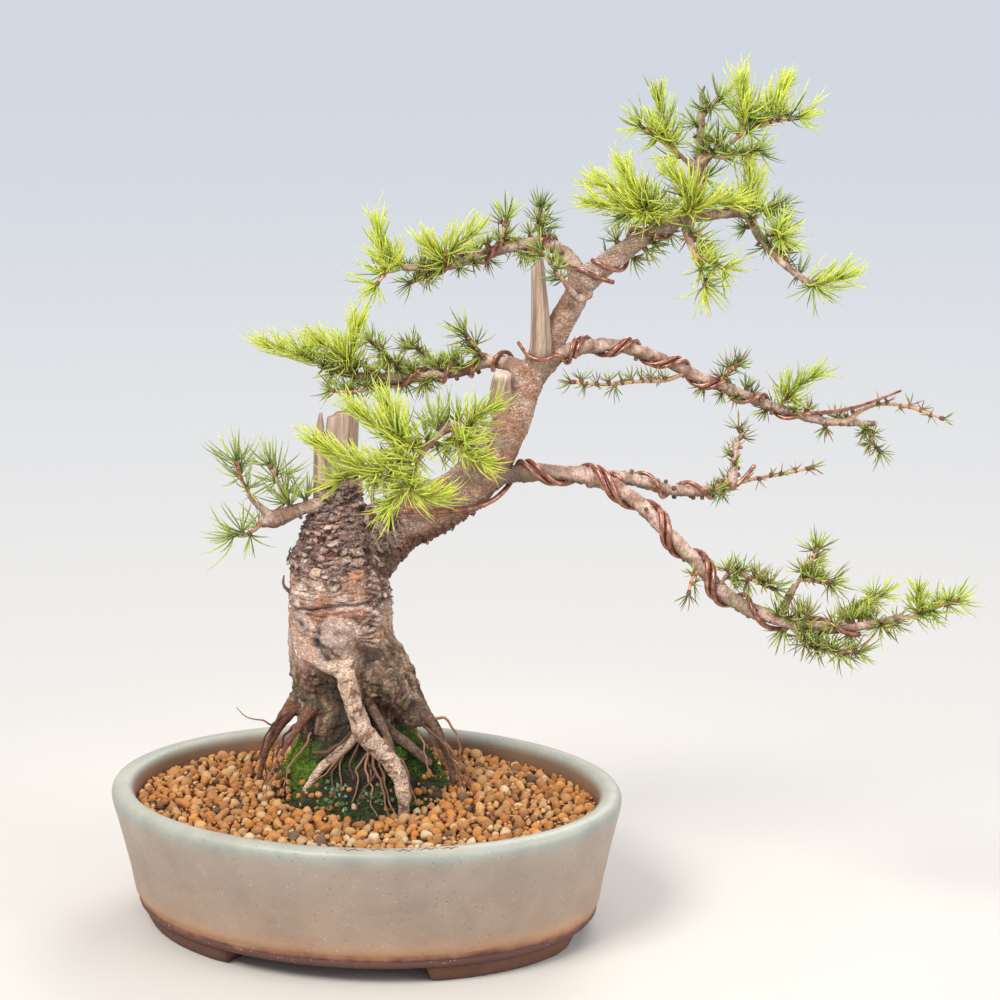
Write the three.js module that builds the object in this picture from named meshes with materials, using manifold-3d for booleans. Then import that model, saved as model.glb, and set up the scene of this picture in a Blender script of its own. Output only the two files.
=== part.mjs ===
// European larch trained as a leaning bonsai, in a shallow oval glazed pot.
// Millimetres, +Z up, +X to the right of the front view, -Y towards the viewer.
// The parts are laid out about the middle of the pot's footprint, on the surface that it stands on.
import * as THREE from 'three';
import { mergeVertices } from 'three/addons/utils/BufferGeometryUtils.js';
import Module from 'manifold-3d';

const wasm = await Module();
wasm.setup();

// Pot: an oval turned a little clockwise, seen from above
const POT_LENGTH = 300;
const POT_DEPTH = 224;
const POT_YAW = -0.196;
const POT_SIDES = 32;
const FOOT_HEIGHT = 10;
const FLOOR_TOP = 19;
const DRAIN_RADIUS = 12.5;
const DRAIN_OFFSET = 62;
const DRAIN_SIDES = 8;

// The pot's section: inset from the rim's outer oval, and height
const POT_SECTION = [
  [15.5, 10], [13.9, 12], [14.2, 17], [12.8, 18.6], [10, 34], [6, 52],
  [2.5, 68], [0.4, 75], [0.6, 79.5], [3, 81.8], [6.5, 82.4], [10.5, 81.3],
  [13.3, 77], [13.8, 68], [19.5, 33], [25, FLOOR_TOP],
];

// Soil, moss mound and drainage screens
const SOIL_LEVEL = 71;
const GRAIN_RELIEF = 1.5;
const MOUND_CENTRE = [-5, 22];
const MOUND_RADII = [52, 56];
const MOUND_HEIGHT = 41;
const MOUND_SHOULDER = 0.53;
const SCREEN_SIZE = 34;
const SCREEN_THICKNESS = 1;
const SCREEN_BAR = 2.5;
const SCREEN_CELLS = 2;
const SCREEN_LEVEL = 19.8;

// Fits: the gap left between pieces that rest on or stand in each other
const GAP = 0.3;
const SEAT_GAP = 0.4;

// Wood of this radius and over has its bark's full depth
const THICK_WOOD = 20;

// Wire and foliage
const WIRE_RADIUS = 1.6;
const WIRE_GAP = 0.35;
const WIRE_SIDES = 4;
const WIRE_STEPS_PER_TURN = 8;
const TWIG_RADIUS = 1;
const TWIG_SIDES = 3;
const BUD_RADIUS = 1.5;
const NEEDLE_LENGTH = 21;
const NEEDLE_ROOT_RADIUS = 0.7;
const NEEDLE_CLEARANCE = 0.2;
const BARE_SHARE = 0.2;

// Edges and faces finer than these are tidied away
const WELD = 0.02;
const THIN = 0.003;

// One seeded draw serves every random choice
let seed = 20260;
function random() {
  seed = (seed * 1664525 + 1013904223) % 4294967296;
  return seed / 4294967296;
}
function between(low, high) {
  return low + (high - low) * random();
}

// Bodies from rings of points; neighbouring rings may differ in count, and a single point closes an end
function ringBody(rings) {
  const points = [];
  const faces = [];
  const starts = [];
  for (const ring of rings) {
    starts.push(points.length);
    points.push(...ring);
  }
  for (let k = 0; k + 1 < rings.length; k += 1) {
    const n = rings[k].length;
    const m = rings[k + 1].length;
    const low = (i) => starts[k] + (i % n);
    const high = (j) => starts[k + 1] + (j % m);
    let i = n === 1 ? 1 : 0;
    let j = m === 1 ? 1 : 0;
    while (i < n || j < m) {
      if (j >= m || (i < n && (i + 1) / n <= (j + 1) / m)) {
        faces.push(low(i), low(i + 1), high(m === 1 ? 0 : j));
        i += 1;
      } else {
        faces.push(low(n === 1 ? 0 : i), high(j + 1), high(j));
        j += 1;
      }
    }
  }
  return geometryOf(points, faces);
}

function geometryOf(points, faces) {
  const geometry = new THREE.BufferGeometry();
  geometry.setFromPoints(points);
  geometry.setIndex(faces);
  return geometry;
}

function solidOf(source) {
  const bare = source.index ? source.clone() : source;
  bare.deleteAttribute('normal');
  bare.deleteAttribute('uv');
  const merged = mergeVertices(bare, 1e-4);
  return new wasm.Manifold(new wasm.Mesh({
    numProp: 3,
    vertProperties: new Float32Array(merged.attributes.position.array),
    triVerts: new Uint32Array(merged.index.array),
  }));
}

function placedSolid(geometry, x, y, z) {
  return solidOf(geometry.translate(x, y, z));
}

function largestBody(solid) {
  let best = null;
  for (const body of solid.decompose()) {
    if (!best || body.volume() > best.volume()) best = body;
  }
  return best;
}

// Cuts and joins leave some points a hair apart: each edge shorter than the weld is drawn together
function weldShortEdges(points, faces) {
  const root = points.map((_, i) => i);
  const find = (i) => {
    let k = i;
    while (root[k] !== k) k = root[k];
    return k;
  };
  for (const face of faces) {
    for (let i = 0; i < 3; i += 1) {
      const a = find(face[i]);
      const b = find(face[(i + 1) % 3]);
      if (a !== b && points[a].distanceTo(points[b]) < WELD) root[b] = a;
    }
  }
  return faces
    .map((face) => face.map(find))
    .filter(([a, b, c]) => a !== b && b !== c && c !== a);
}

// A face with its corner almost on its long edge hands that edge over: the pair is split the other way
function flipThinFaces(points, faces) {
  const edges = new Map();
  const key = (a, b) => `${a},${b}`;
  const enter = (face) => face.forEach((a, i) => edges.set(key(a, face[(i + 1) % 3]), face));
  const leave = (face) => face.forEach((a, i) => edges.delete(key(a, face[(i + 1) % 3])));
  faces.forEach(enter);
  for (const face of faces) {
    const sides = face.map((a, i) => points[a].distanceTo(points[face[(i + 1) % 3]]));
    const longest = sides.indexOf(Math.max(...sides));
    const [a, b, c] = [0, 1, 2].map((i) => face[(longest + i) % 3]);
    const line = new THREE.Line3(points[a], points[b]);
    const foot = line.closestPointToPoint(points[c], true, new THREE.Vector3());
    const twin = edges.get(key(b, a));
    const d = twin.find((i) => i !== a && i !== b);
    if (foot.distanceTo(points[c]) < THIN && !edges.has(key(c, d)) && !edges.has(key(d, c))) {
      leave(face);
      leave(twin);
      face.splice(0, 3, a, d, c);
      twin.splice(0, 3, d, b, c);
      enter(face);
      enter(twin);
    }
  }
  return faces;
}

function cleanSolid(solid) {
  const raw = solid.getMesh();
  const points = [];
  for (let i = 0; i < raw.vertProperties.length; i += 3) {
    points.push(new THREE.Vector3(...raw.vertProperties.slice(i, i + 3)));
  }
  let faces = [];
  for (let i = 0; i < raw.triVerts.length; i += 3) faces.push([...raw.triVerts.slice(i, i + 3)]);
  faces = flipThinFaces(points, weldShortEdges(points, faces));
  return solidOf(geometryOf(points, faces.flat()));
}

function meshOf(solid, name, material) {
  const raw = cleanSolid(solid).getMesh();
  const geometry = new THREE.BufferGeometry();
  geometry.setAttribute('position', new THREE.BufferAttribute(raw.vertProperties.slice(), 3));
  geometry.setIndex(new THREE.BufferAttribute(raw.triVerts.slice(), 1));
  const flat = geometry.toNonIndexed();
  flat.computeVertexNormals();
  const mesh = new THREE.Mesh(flat, material);
  mesh.name = name;
  return mesh;
}

function finish(colour, roughness, metalness = 0) {
  return new THREE.MeshStandardMaterial({ color: colour, roughness, metalness });
}

const MATERIALS = {
  glaze: finish(0xa3ab9f, 0.45),
  screen: finish(0x23262a, 0.6),
  granules: finish(0xbe783c, 0.95),
  moss: finish(0x3c5a22, 0.95),
  wood: finish(0x8a6f5c, 0.9),
  wire: finish(0x96543f, 0.45, 0.6),
  lime: finish(0xa9d031, 0.7),
  green: finish(0x6f9440, 0.7),
  dark: finish(0x35562f, 0.75),
};

// Oval rings of the pot
function ovalPoint(inset, angle, z, scale = 1) {
  const x = (POT_LENGTH / 2 - inset) * Math.cos(angle) * scale;
  const y = (POT_DEPTH / 2 - inset) * Math.sin(angle) * scale;
  const point = new THREE.Vector3(x, y, z);
  return point.applyAxisAngle(new THREE.Vector3(0, 0, 1), POT_YAW);
}

function ovalRing(inset, z, count = POT_SIDES, scale = 1) {
  const ring = [];
  for (let k = 0; k < count; k += 1) {
    ring.push(ovalPoint(inset, (2 * Math.PI * k) / count, z, scale));
  }
  return ring;
}

// A foot follows the oval through one quadrant and stands on a flat face
function footSolid(from, to) {
  const steps = 4;
  const corners = [[21, 0], [42, 0], [44, FOOT_HEIGHT + 1], [16.4, FOOT_HEIGHT + 1]];
  const rings = [];
  for (let k = 0; k <= steps; k += 1) {
    const angle = from + ((to - from) * k) / steps;
    rings.push(corners.map(([inset, z]) => {
      const squeeze = z === 0 ? 0.06 : 0;
      const eased = angle + squeeze * (1 - (2 * k) / steps);
      return ovalPoint(inset, eased, z);
    }));
  }
  return solidOf(ringBody([[middleOf(rings[0])], ...rings, [middleOf(rings[steps])]]));
}

function middleOf(ring) {
  const sum = new THREE.Vector3();
  for (const point of ring) sum.add(point);
  return sum.divideScalar(ring.length);
}

const FOOT_SPANS = [[0.28, 1.13], [2.01, 2.86], [3.42, 4.27], [5.15, 6.0]];

function potSolid() {
  const rings = POT_SECTION.map(([inset, z]) => ovalRing(inset, z));
  const underside = [new THREE.Vector3(0, 0, FOOT_HEIGHT)];
  const floor = [new THREE.Vector3(0, 0, FLOOR_TOP)];
  let pot = solidOf(ringBody([underside, ...rings, floor]));
  for (const [from, to] of FOOT_SPANS) pot = pot.add(footSolid(from, to));
  for (const side of [-1, 1]) {
    const hole = new THREE.CylinderGeometry(DRAIN_RADIUS, DRAIN_RADIUS, 30, DRAIN_SIDES);
    hole.rotateX(Math.PI / 2);
    const at = drainPlace(side);
    pot = pot.subtract(placedSolid(hole, at.x, at.y, FOOT_HEIGHT + 5));
  }
  return pot;
}

function drainPlace(side) {
  return new THREE.Vector3(side * DRAIN_OFFSET, 0, 0)
    .applyAxisAngle(new THREE.Vector3(0, 0, 1), POT_YAW)
    .round();
}

// A square plastic mesh of crossing bars that lies over a drainage hole
function screenSolid(side) {
  const at = drainPlace(side);
  const pitch = (SCREEN_SIZE - SCREEN_BAR) / SCREEN_CELLS;
  const bars = [];
  for (let i = 0; i <= SCREEN_CELLS; i += 1) {
    const offset = (SCREEN_BAR - SCREEN_SIZE) / 2 + i * pitch;
    const long = new THREE.BoxGeometry(SCREEN_SIZE, SCREEN_BAR, SCREEN_THICKNESS);
    bars.push(placedSolid(long, at.x, at.y + offset, SCREEN_LEVEL));
    const short = new THREE.BoxGeometry(SCREEN_BAR, SCREEN_SIZE, SCREEN_THICKNESS);
    bars.push(placedSolid(short, at.x + offset, at.y, SCREEN_LEVEL));
  }
  return joined(bars);
}

// A pocket in the soil's underside, a gap wider than the screen in it
function screenPocket(side) {
  const width = SCREEN_SIZE + 2 * GAP;
  const pocket = new THREE.BoxGeometry(width, width, 2 * (SCREEN_THICKNESS + 2 * GAP));
  const at = drainPlace(side);
  return placedSolid(pocket, at.x, at.y, FLOOR_TOP + GAP);
}

// How far out on the mound's footprint a point lies: 0 in its middle, 1 on its edge
function moundReach(x, y) {
  return Math.hypot((x - MOUND_CENTRE[0]) / MOUND_RADII[0], (y - MOUND_CENTRE[1]) / MOUND_RADII[1]);
}

function soilHeight(x, y) {
  if (moundReach(x, y) < 0.9) return SOIL_LEVEL;
  return SOIL_LEVEL + between(0, 2 * GRAIN_RELIEF);
}

// The bed of granules: its wall follows the pot's inside, and its top is pebbled
function soilSolid() {
  const rings = [[new THREE.Vector3(0, 0, FLOOR_TOP + GAP)]];
  rings.push(ovalRing(25 + 2 * GAP, FLOOR_TOP + GAP));
  rings.push(ovalRing(19.5 + 2 * GAP, 33));
  rings.push(ovalRing(13.8 + 2 * GAP, 68));
  const courses = 9;
  for (let k = 0; k < courses; k += 1) {
    const scale = 1 - k / courses;
    const count = Math.max(10, Math.round(80 * Math.sqrt(scale) * (0.35 + 0.65 * scale)));
    const ring = ovalRing(16.5, SOIL_LEVEL, k === 0 ? 80 : count, scale);
    for (const point of ring) point.z = soilHeight(point.x, point.y);
    rings.push(ring);
  }
  rings.push([new THREE.Vector3(0, 0, SOIL_LEVEL)]);
  return solidOf(ringBody(rings));
}

// The mound rises steeply from its edge to a shoulder, where the bole stands in it
function moundHeight(reach) {
  const rise = Math.min(1.2, Math.max(0, (1 - reach) / (1 - MOUND_SHOULDER)));
  return MOUND_HEIGHT * (rise < 1 ? rise ** 1.15 : 1 + (rise - 1) * 0.5);
}

function moundSolid(grow = 0) {
  const base = SOIL_LEVEL + GAP - grow;
  const rings = [[new THREE.Vector3(MOUND_CENTRE[0], MOUND_CENTRE[1], base)]];
  const courses = [1, 0.96, 0.84, 0.72, 0.6, 0.45];
  for (const reach of [1, ...courses]) {
    const rim = rings.length === 1;
    const count = Math.round(12 + 14 * reach);
    const ring = [];
    for (let k = 0; k < count; k += 1) {
      const angle = (2 * Math.PI * k) / count;
      const wobble = 1 + 0.02 * Math.sin(3 * angle) + 0.025 * Math.sin(5 * angle + 1);
      const x = MOUND_CENTRE[0] + (MOUND_RADII[0] * reach * wobble + grow) * Math.cos(angle);
      const y = MOUND_CENTRE[1] + (MOUND_RADII[1] * reach * wobble + grow) * Math.sin(angle);
      const tussock = Math.sin(17 * k + 40 * reach) * (1.2 - reach);
      const z = rim ? base : SOIL_LEVEL + 1 + grow + moundHeight(reach) + tussock;
      ring.push(new THREE.Vector3(x, y, z));
    }
    rings.push(ring);
  }
  const top = SOIL_LEVEL + 1 + grow + moundHeight(0);
  rings.push([new THREE.Vector3(MOUND_CENTRE[0], MOUND_CENTRE[1], top)]);
  return solidOf(ringBody(rings));
}

// A limb is a run of [x, y, z, radius]; samples carry the frame that rings and coils are set on
function sampleRun(run, stepsPerSpan) {
  const curve = new THREE.CatmullRomCurve3(
    run.map(([x, y, z]) => new THREE.Vector3(x, y, z)),
    false,
    'centripetal',
  );
  const total = (run.length - 1) * stepsPerSpan;
  const samples = [];
  let side = null;
  for (let k = 0; k <= total; k += 1) {
    const u = k / total;
    const along = u * (run.length - 1);
    const i = Math.min(run.length - 2, Math.floor(along));
    const radius = run[i][3] + (run[i + 1][3] - run[i][3]) * (along - i);
    const ahead = curve.getTangent(u);
    if (!side) side = Math.abs(ahead.z) > 0.8 ? new THREE.Vector3(1, 0, 0) : new THREE.Vector3(0, 0, 1);
    side = side.clone().addScaledVector(ahead, -side.dot(ahead)).normalize();
    const across = new THREE.Vector3().crossVectors(ahead, side);
    samples.push({ at: curve.getPoint(u), ahead, side, across, radius });
  }
  return samples;
}

function aroundSample(sample, angle, radius) {
  return sample.at.clone()
    .addScaledVector(sample.side, radius * Math.cos(angle))
    .addScaledVector(sample.across, radius * Math.sin(angle));
}

// A tapered tube with a shallow point at each end; relief adds to the radius ring by ring
function tubeSolid(samples, sides, grow = 0, relief = null) {
  const rings = [];
  const first = samples[0];
  const last = samples[samples.length - 1];
  rings.push([first.at.clone().addScaledVector(first.ahead, -0.3 * first.radius - grow)]);
  samples.forEach((sample, k) => {
    const ring = [];
    for (let i = 0; i < sides; i += 1) {
      const bump = relief ? relief[k][i] : 0;
      ring.push(aroundSample(sample, (2 * Math.PI * i) / sides, sample.radius + grow + bump));
    }
    rings.push(ring);
  });
  rings.push([last.at.clone().addScaledVector(last.ahead, 0.45 * last.radius + grow)]);
  return solidOf(ringBody(rings));
}

// Bark stands out in plates: some facets of each ring are raised and some sunk, less on thin wood
function barkDepth(radius, bark) {
  return bark * Math.min(1, radius / THICK_WOOD);
}

function barkRelief(samples, sides, bark) {
  return samples.map((sample) => {
    const row = [];
    for (let i = 0; i < sides; i += 1) row.push(between(-1, 1) * barkDepth(sample.radius, bark));
    return row;
  });
}

// The wood, from the roots up: every run of [x, y, z, radius], its sides, steps and bark
const LIMBS = {
  bole: {
    sides: 20, steps: 2, bark: 1.1,
    run: [[-9, 22, 52, 22], [-9, 22, 99, 28.5], [-9, 21, 122, 31], [-12, 20, 145, 31.5],
      [-15, 18, 168, 30.5], [-15, 16, 193, 29.5], [-14, 15, 213, 28], [-14, 14, 228, 21],
      [-14, 14, 243, 16.5], [-14, 13, 264, 12], [-13, 13, 281, 10.5], [-12, 13, 297, 9]],
  },
  trunk: {
    sides: 12, steps: 2, bark: 1,
    run: [[-14, 15, 196, 17], [1, 14, 218, 21], [19, 12, 233, 17.5], [39, 10, 241, 15.5],
      [55, 8, 250, 14], [68, 7, 263, 13.5], [77, 6, 278, 12], [85, 6, 294, 10.5],
      [90, 6, 308, 10], [96, 6, 321, 9]],
  },
  crown: {
    sides: 9, steps: 2, bark: 0.7,
    run: [[91, 6, 310, 9], [105, 5, 336, 8], [120, 3, 363, 7], [125, 2, 372, 7.4],
      [134, 1, 379, 6.2], [157, -1, 396, 5.2], [182, -2, 409, 3.8]],
  },
  leader: {
    sides: 7, steps: 2, bark: 0,
    run: [[178, -2, 407, 3.6], [186, -1, 419, 3.4], [188, 0, 440, 2.8], [188, 2, 462, 2.2],
      [189, 3, 474, 1.2]],
  },
  deadwoodMiddle: {
    sides: 8, steps: 2, bark: 0,
    run: [[98, 4, 320, 6], [101, -3, 334, 6], [101, -5, 350, 5.4], [100, -6, 368, 4.2], [99, -6, 384, 2.4]],
  },
  deadwoodLow: {
    sides: 8, steps: 1, bark: 0,
    run: [[80, 4, 298, 7], [79, -4, 313, 5.8], [80, -7, 323, 4.2]],
  },
  burl: {
    sides: 9, steps: 2, bark: 0.5,
    run: [[-14, 6, 170, 9], [-15, -9, 173, 11.5], [-16, -15, 174, 7]],
  },
  knot: { sides: 7, steps: 2, bark: 0, run: [[-30, 4, 177, 4], [-36, -3, 177, 4]] },
  swelling: { sides: 8, steps: 2, bark: 0, run: [[-28, 6, 150, 7], [-34, -4, 151, 6]] },
  rootFront: {
    sides: 6, steps: 1, bark: 0,
    run: [[-11, -4, 168, 8], [-8, -10, 154, 7.4], [-3, -11, 136, 6.4], [1, -12, 120, 6.4],
      [8, -11, 106, 5.6], [15, -14, 95, 5], [20, -20, 83, 4.4], [23, -28, 70, 3.2], [24, -31, 64, 2]],
  },
  rootFork: {
    sides: 5, steps: 1, bark: 0,
    run: [[-1, -12, 116, 3.4], [-11, -12, 106, 3], [-24, -14, 95, 2.8], [-34, -16, 81, 2.2]],
  },
  rootMiddle: {
    sides: 5, steps: 1, bark: 0,
    run: [[4, -6, 130, 4], [12, -8, 116, 3], [16, -8, 103, 2.8], [18, -16, 88, 2.2]],
  },
  rootRight: {
    sides: 6, steps: 1, bark: 0,
    run: [[6, 12, 142, 14], [16, 9, 130, 11], [27, 8, 122, 7], [37, 8, 117, 5], [44, 9, 105, 3.6],
      [49, 10, 91, 3], [51, 10, 76, 2]],
  },
  rootRightLow: {
    sides: 5, steps: 1, bark: 0,
    run: [[14, 2, 112, 5], [26, 2, 103, 4], [38, 2, 92, 3]],
  },
  rootLeft: {
    sides: 6, steps: 1, bark: 0,
    run: [[-30, 16, 138, 12], [-42, 13, 124, 7], [-52, 11, 110, 4.4], [-59, 10, 96, 3], [-63, 10, 80, 2.2]],
  },
  rootLeftFront: {
    sides: 5, steps: 1, bark: 0,
    run: [[-27, 2, 130, 7], [-38, -4, 116, 4], [-48, -7, 100, 2.4]],
  },
  rootBack: {
    sides: 6, steps: 1, bark: 0,
    run: [[-4, 42, 140, 11], [4, 56, 118, 7], [12, 66, 96, 4], [18, 72, 76, 2.4]],
  },
  rootBackLeft: {
    sides: 6, steps: 1, bark: 0,
    run: [[-20, 40, 136, 10], [-34, 52, 112, 6], [-42, 60, 90, 3]],
  },
  low: {
    sides: 6, steps: 1, bark: 0,
    run: [[66, 8, 256, 7], [80, 5, 262, 5], [104, 0, 265, 4.2], [130, -5, 263, 4.4], [153, -11, 252, 4],
      [172, -17, 234, 4], [188, -22, 218, 4], [204, -28, 201, 4.2], [220, -35, 193, 4],
      [251, -46, 187, 3.2], [276, -54, 190, 2.4], [296, -61, 197, 1.8]],
  },
  lowFork: {
    sides: 6, steps: 2, bark: 0,
    run: [[128, -5, 263, 4], [151, 2, 261, 3.6], [176, 10, 253, 3.2], [203, 17, 252, 3],
      [213, 20, 254, 2.6]],
  },
  forkStub: {
    sides: 5, steps: 2, bark: 0,
    run: [[212, 20, 253, 2.4], [213, 22, 268, 2.2], [215, 22, 281, 1.6]],
  },
  lowSpur: {
    sides: 5, steps: 2, bark: 0,
    run: [[232, -39, 189, 2.4], [238, -38, 203, 2], [241, -38, 209, 1.6]],
  },
  middleRight: {
    sides: 6, steps: 1, bark: 0,
    run: [[99, 5, 322, 6], [113, 2, 332, 4.2], [137, 7, 336, 3.8], [163, 13, 330, 3.4], [190, 20, 317, 3.2],
      [213, 26, 307, 3.1], [238, 32, 297, 2.8], [267, 38, 288, 2.2], [297, 43, 286, 1.6]],
  },
  middleRightTip: {
    sides: 5, steps: 2, bark: 0,
    run: [[266, 38, 288, 1.8], [279, 39, 288, 1.6], [288, 37, 295, 1.4]],
  },
  middleLeft: {
    sides: 6, steps: 2, bark: 0,
    run: [[96, 8, 318, 6], [86, 19, 323, 4.4], [74, 26, 325, 3.8], [57, 31, 319, 3.4], [37, 33, 315, 3],
      [2, 35, 314, 2.5], [-26, 36, 321, 1.7]],
  },
  upperLeft: {
    sides: 6, steps: 2, bark: 0,
    run: [[124, 4, 369, 5.5], [117, 14, 384, 4], [104, 18, 392, 3.6], [77, 20, 388, 3], [52, 20, 380, 2.5],
      [24, 20, 378, 1.8]],
  },
  upperFront: {
    sides: 5, steps: 2, bark: 0,
    run: [[126, 0, 366, 3], [121, -14, 364, 2], [114, -19, 373, 1.6]],
  },
  crownRight: {
    sides: 6, steps: 2, bark: 0,
    run: [[178, -2, 408, 3.4], [196, -1, 409, 3], [213, 1, 409, 2.6], [221, -5, 397, 2.2],
      [233, -12, 383, 1.9], [246, -18, 373, 1.6]],
  },
  middleDroop: {
    sides: 5, steps: 2, bark: 0,
    run: [[181, -4, 406, 3], [181, -12, 398, 2.1], [183, -16, 391, 1.7]],
  },
  apexLeft: { sides: 5, steps: 1, bark: 0, run: [[187, 0, 430, 2.4], [181, -2, 438, 1.7]] },
  apexRight: {
    sides: 5, steps: 2, bark: 0,
    run: [[188, 0, 436, 2.4], [194, -2, 442, 1.9], [201, -3, 445, 1.6]],
  },
  front: {
    sides: 6, steps: 2, bark: 0,
    run: [[70, 2, 274, 5], [62, -14, 290, 3.4], [51, -28, 295, 2.7], [41, -37, 289, 2.1],
      [34, -43, 280, 1.7]],
  },
  left: {
    sides: 6, steps: 2, bark: 0,
    run: [[-16, 10, 246, 4], [-31, 4, 244, 3.2], [-48, -3, 239, 2.9], [-56, -6, 238, 2.4]],
  },
  leftTwig: {
    sides: 5, steps: 1, bark: 0,
    run: [[-50, -4, 240, 2.2], [-58, -6, 248, 1.8], [-63, -6, 254, 1.5]],
  },
};

// Samples, solid and grown cutter of every limb
function growLimbs() {
  const grown = [];
  for (const [name, limb] of Object.entries(LIMBS)) {
    const samples = sampleRun(limb.run, limb.steps);
    const relief = limb.bark ? barkRelief(samples, limb.sides, limb.bark) : null;
    grown.push({
      name,
      samples,
      solid: tubeSolid(samples, limb.sides, 0, relief),
      cutter: tubeSolid(samples, limb.sides, SEAT_GAP, relief),
    });
  }
  return grown;
}

function joined(solids) {
  return solids.reduce((sum, solid) => sum.add(solid));
}

// Clearance tests treat wood, wire and needles as chains of tapered segments
function segmentsOf(samples, grow = 0, bark = 0) {
  const list = [];
  const thickness = ({ radius }) => radius + grow + barkDepth(radius, bark);
  for (let k = 0; k + 1 < samples.length; k += 1) {
    list.push({
      a: samples[k].at,
      b: samples[k + 1].at,
      ra: thickness(samples[k]),
      rb: thickness(samples[k + 1]),
    });
  }
  return list;
}

// Clear distance between two tapered segments, taken at their closest points
function clearance(p, q) {
  const d1 = new THREE.Vector3().subVectors(p.b, p.a);
  const d2 = new THREE.Vector3().subVectors(q.b, q.a);
  const r = new THREE.Vector3().subVectors(p.a, q.a);
  const a = d1.dot(d1);
  const e = d2.dot(d2);
  const b = d1.dot(d2);
  const c = d1.dot(r);
  const f = d2.dot(r);
  const denom = a * e - b * b;
  let s = denom > 1e-9 ? THREE.MathUtils.clamp((b * f - c * e) / denom, 0, 1) : 0;
  let t = e > 1e-9 ? (b * s + f) / e : 0;
  if (t < 0 || t > 1) {
    t = THREE.MathUtils.clamp(t, 0, 1);
    s = a > 1e-9 ? THREE.MathUtils.clamp((b * t - c) / a, 0, 1) : 0;
  }
  const near = new THREE.Vector3().copy(p.a).addScaledVector(d1, s);
  const far = new THREE.Vector3().copy(q.a).addScaledVector(d2, t);
  const thick = p.ra + (p.rb - p.ra) * s + q.ra + (q.rb - q.ra) * t;
  return near.distanceTo(far) - thick;
}

function boxOf(segment) {
  const reach = Math.max(segment.ra, segment.rb) + 0.5;
  return new THREE.Box3().setFromPoints([segment.a, segment.b]).expandByScalar(reach);
}

// Wires: a coil round a limb, between two shares of its length, with its free ends given as points.
// Turns below zero coil the other way round.
const WIRES = [
  {
    name: 'wire_low_outer', limb: 'low', from: 0.095, to: 0.9, turns: 5.75, phase: -1.57,
    lead: [[24, -8, 244], [38, -9, 238], [55, -9, 238], [70, -7, 246], [78, 0, 253]], tail: [],
  },
  {
    name: 'wire_low_inner', limb: 'low', from: 0.125, to: 0.66, turns: 3.82, phase: -1.1,
    lead: [], tail: [],
  },
  {
    name: 'wire_fork', limb: 'lowFork', from: 0.12, to: 0.95, turns: 3.3, phase: 0.8,
    lead: [], tail: [[222, 17, 259], [224, 16, 266]],
  },
  {
    name: 'wire_middle_right_outer', limb: 'middleRight', from: 0.12, to: 0.84, turns: -5.47, phase: 2.96,
    lead: [[89, 2, 338], [87, -5, 331], [91, -10, 326], [98, -12, 324], [106, -9, 327], [112, -5, 334],
      [114, 3, 338], [113.5, 9.6, 333]],
    tail: [[282, 32, 287], [297, 32, 297], [310, 31, 304]],
  },
  {
    name: 'wire_middle_right_inner', limb: 'middleRight', from: 0.15, to: 0.62, turns: -3.57, phase: 2.4,
    lead: [], tail: [],
  },
  {
    name: 'wire_middle_left', limb: 'middleLeft', from: 0.2, to: 0.84, turns: -4.5, phase: 2.4,
    lead: [], tail: [],
  },
  {
    name: 'wire_upper_left', limb: 'upperLeft', from: 0.28, to: 0.94, turns: -3.4, phase: 3.7,
    lead: [[141, -3, 372], [131, -8, 373], [119, -8, 376], [111, -1, 379], [109, 8, 385]], tail: [],
  },
  {
    name: 'wire_crown', limb: 'crown', from: 0.66, to: 0.94, turns: 1.6, phase: 3.6,
    lead: [], tail: [],
  },
];

function wirePoints(wire) {
  const samples = sampleRun(LIMBS[wire.limb].run, 12);
  const steps = Math.round(Math.abs(wire.turns) * WIRE_STEPS_PER_TURN);
  const sagitta = 1 - Math.cos(Math.PI / WIRE_STEPS_PER_TURN);
  const points = [];
  for (const [x, y, z] of wire.lead) points.push(new THREE.Vector3(x, y, z));
  for (let k = 0; k <= steps; k += 1) {
    const share = wire.from + ((wire.to - wire.from) * k) / steps;
    const sample = samples[Math.round(share * (samples.length - 1))];
    const radius = (sample.radius + WIRE_RADIUS + WIRE_GAP) * (1 + sagitta);
    const angle = wire.phase + (2 * Math.PI * wire.turns * k) / steps;
    points.push(aroundSample(sample, angle, radius));
  }
  for (const [x, y, z] of wire.tail) points.push(new THREE.Vector3(x, y, z));
  return points;
}

// Moves a wire's points off every segment that they come too near
function pushClear(points, segments, room) {
  for (let round = 0; round < 40; round += 1) {
    let moved = false;
    for (let k = 0; k < points.length; k += 1) {
      const next = points[Math.min(points.length - 1, k + 1)];
      const middle = points[k].clone().lerp(next, 0.5);
      for (const segment of segments) {
        for (const probe of [points[k], middle]) {
          const line = new THREE.Line3(segment.a, segment.b);
          const near = line.closestPointToPoint(probe, true, new THREE.Vector3());
          const share = line.closestPointToPointParameter(probe, true);
          const thick = segment.ra + (segment.rb - segment.ra) * share;
          const away = new THREE.Vector3().subVectors(probe, near);
          const lack = thick + room - away.length();
          if (lack > 0.005) {
            away.normalize();
            points[k].addScaledVector(away, lack);
            if (probe === middle) next.addScaledVector(away, lack);
            moved = true;
          }
        }
      }
    }
    if (!moved) return;
  }
}

function growWires(limbs) {
  const wood = limbs.flatMap((limb) => segmentsOf(limb.samples, 0, LIMBS[limb.name].bark));
  const laid = [];
  const wires = [];
  for (const wire of WIRES) {
    const points = wirePoints(wire);
    pushClear(points, [...wood, ...laid], WIRE_RADIUS + WIRE_GAP);
    const samples = sampleRun(points.map((p) => [p.x, p.y, p.z, WIRE_RADIUS]), 1);
    laid.push(...segmentsOf(samples));
    wires.push({ name: wire.name, samples, solid: tubeSolid(samples, WIRE_SIDES) });
  }
  return wires;
}

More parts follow.
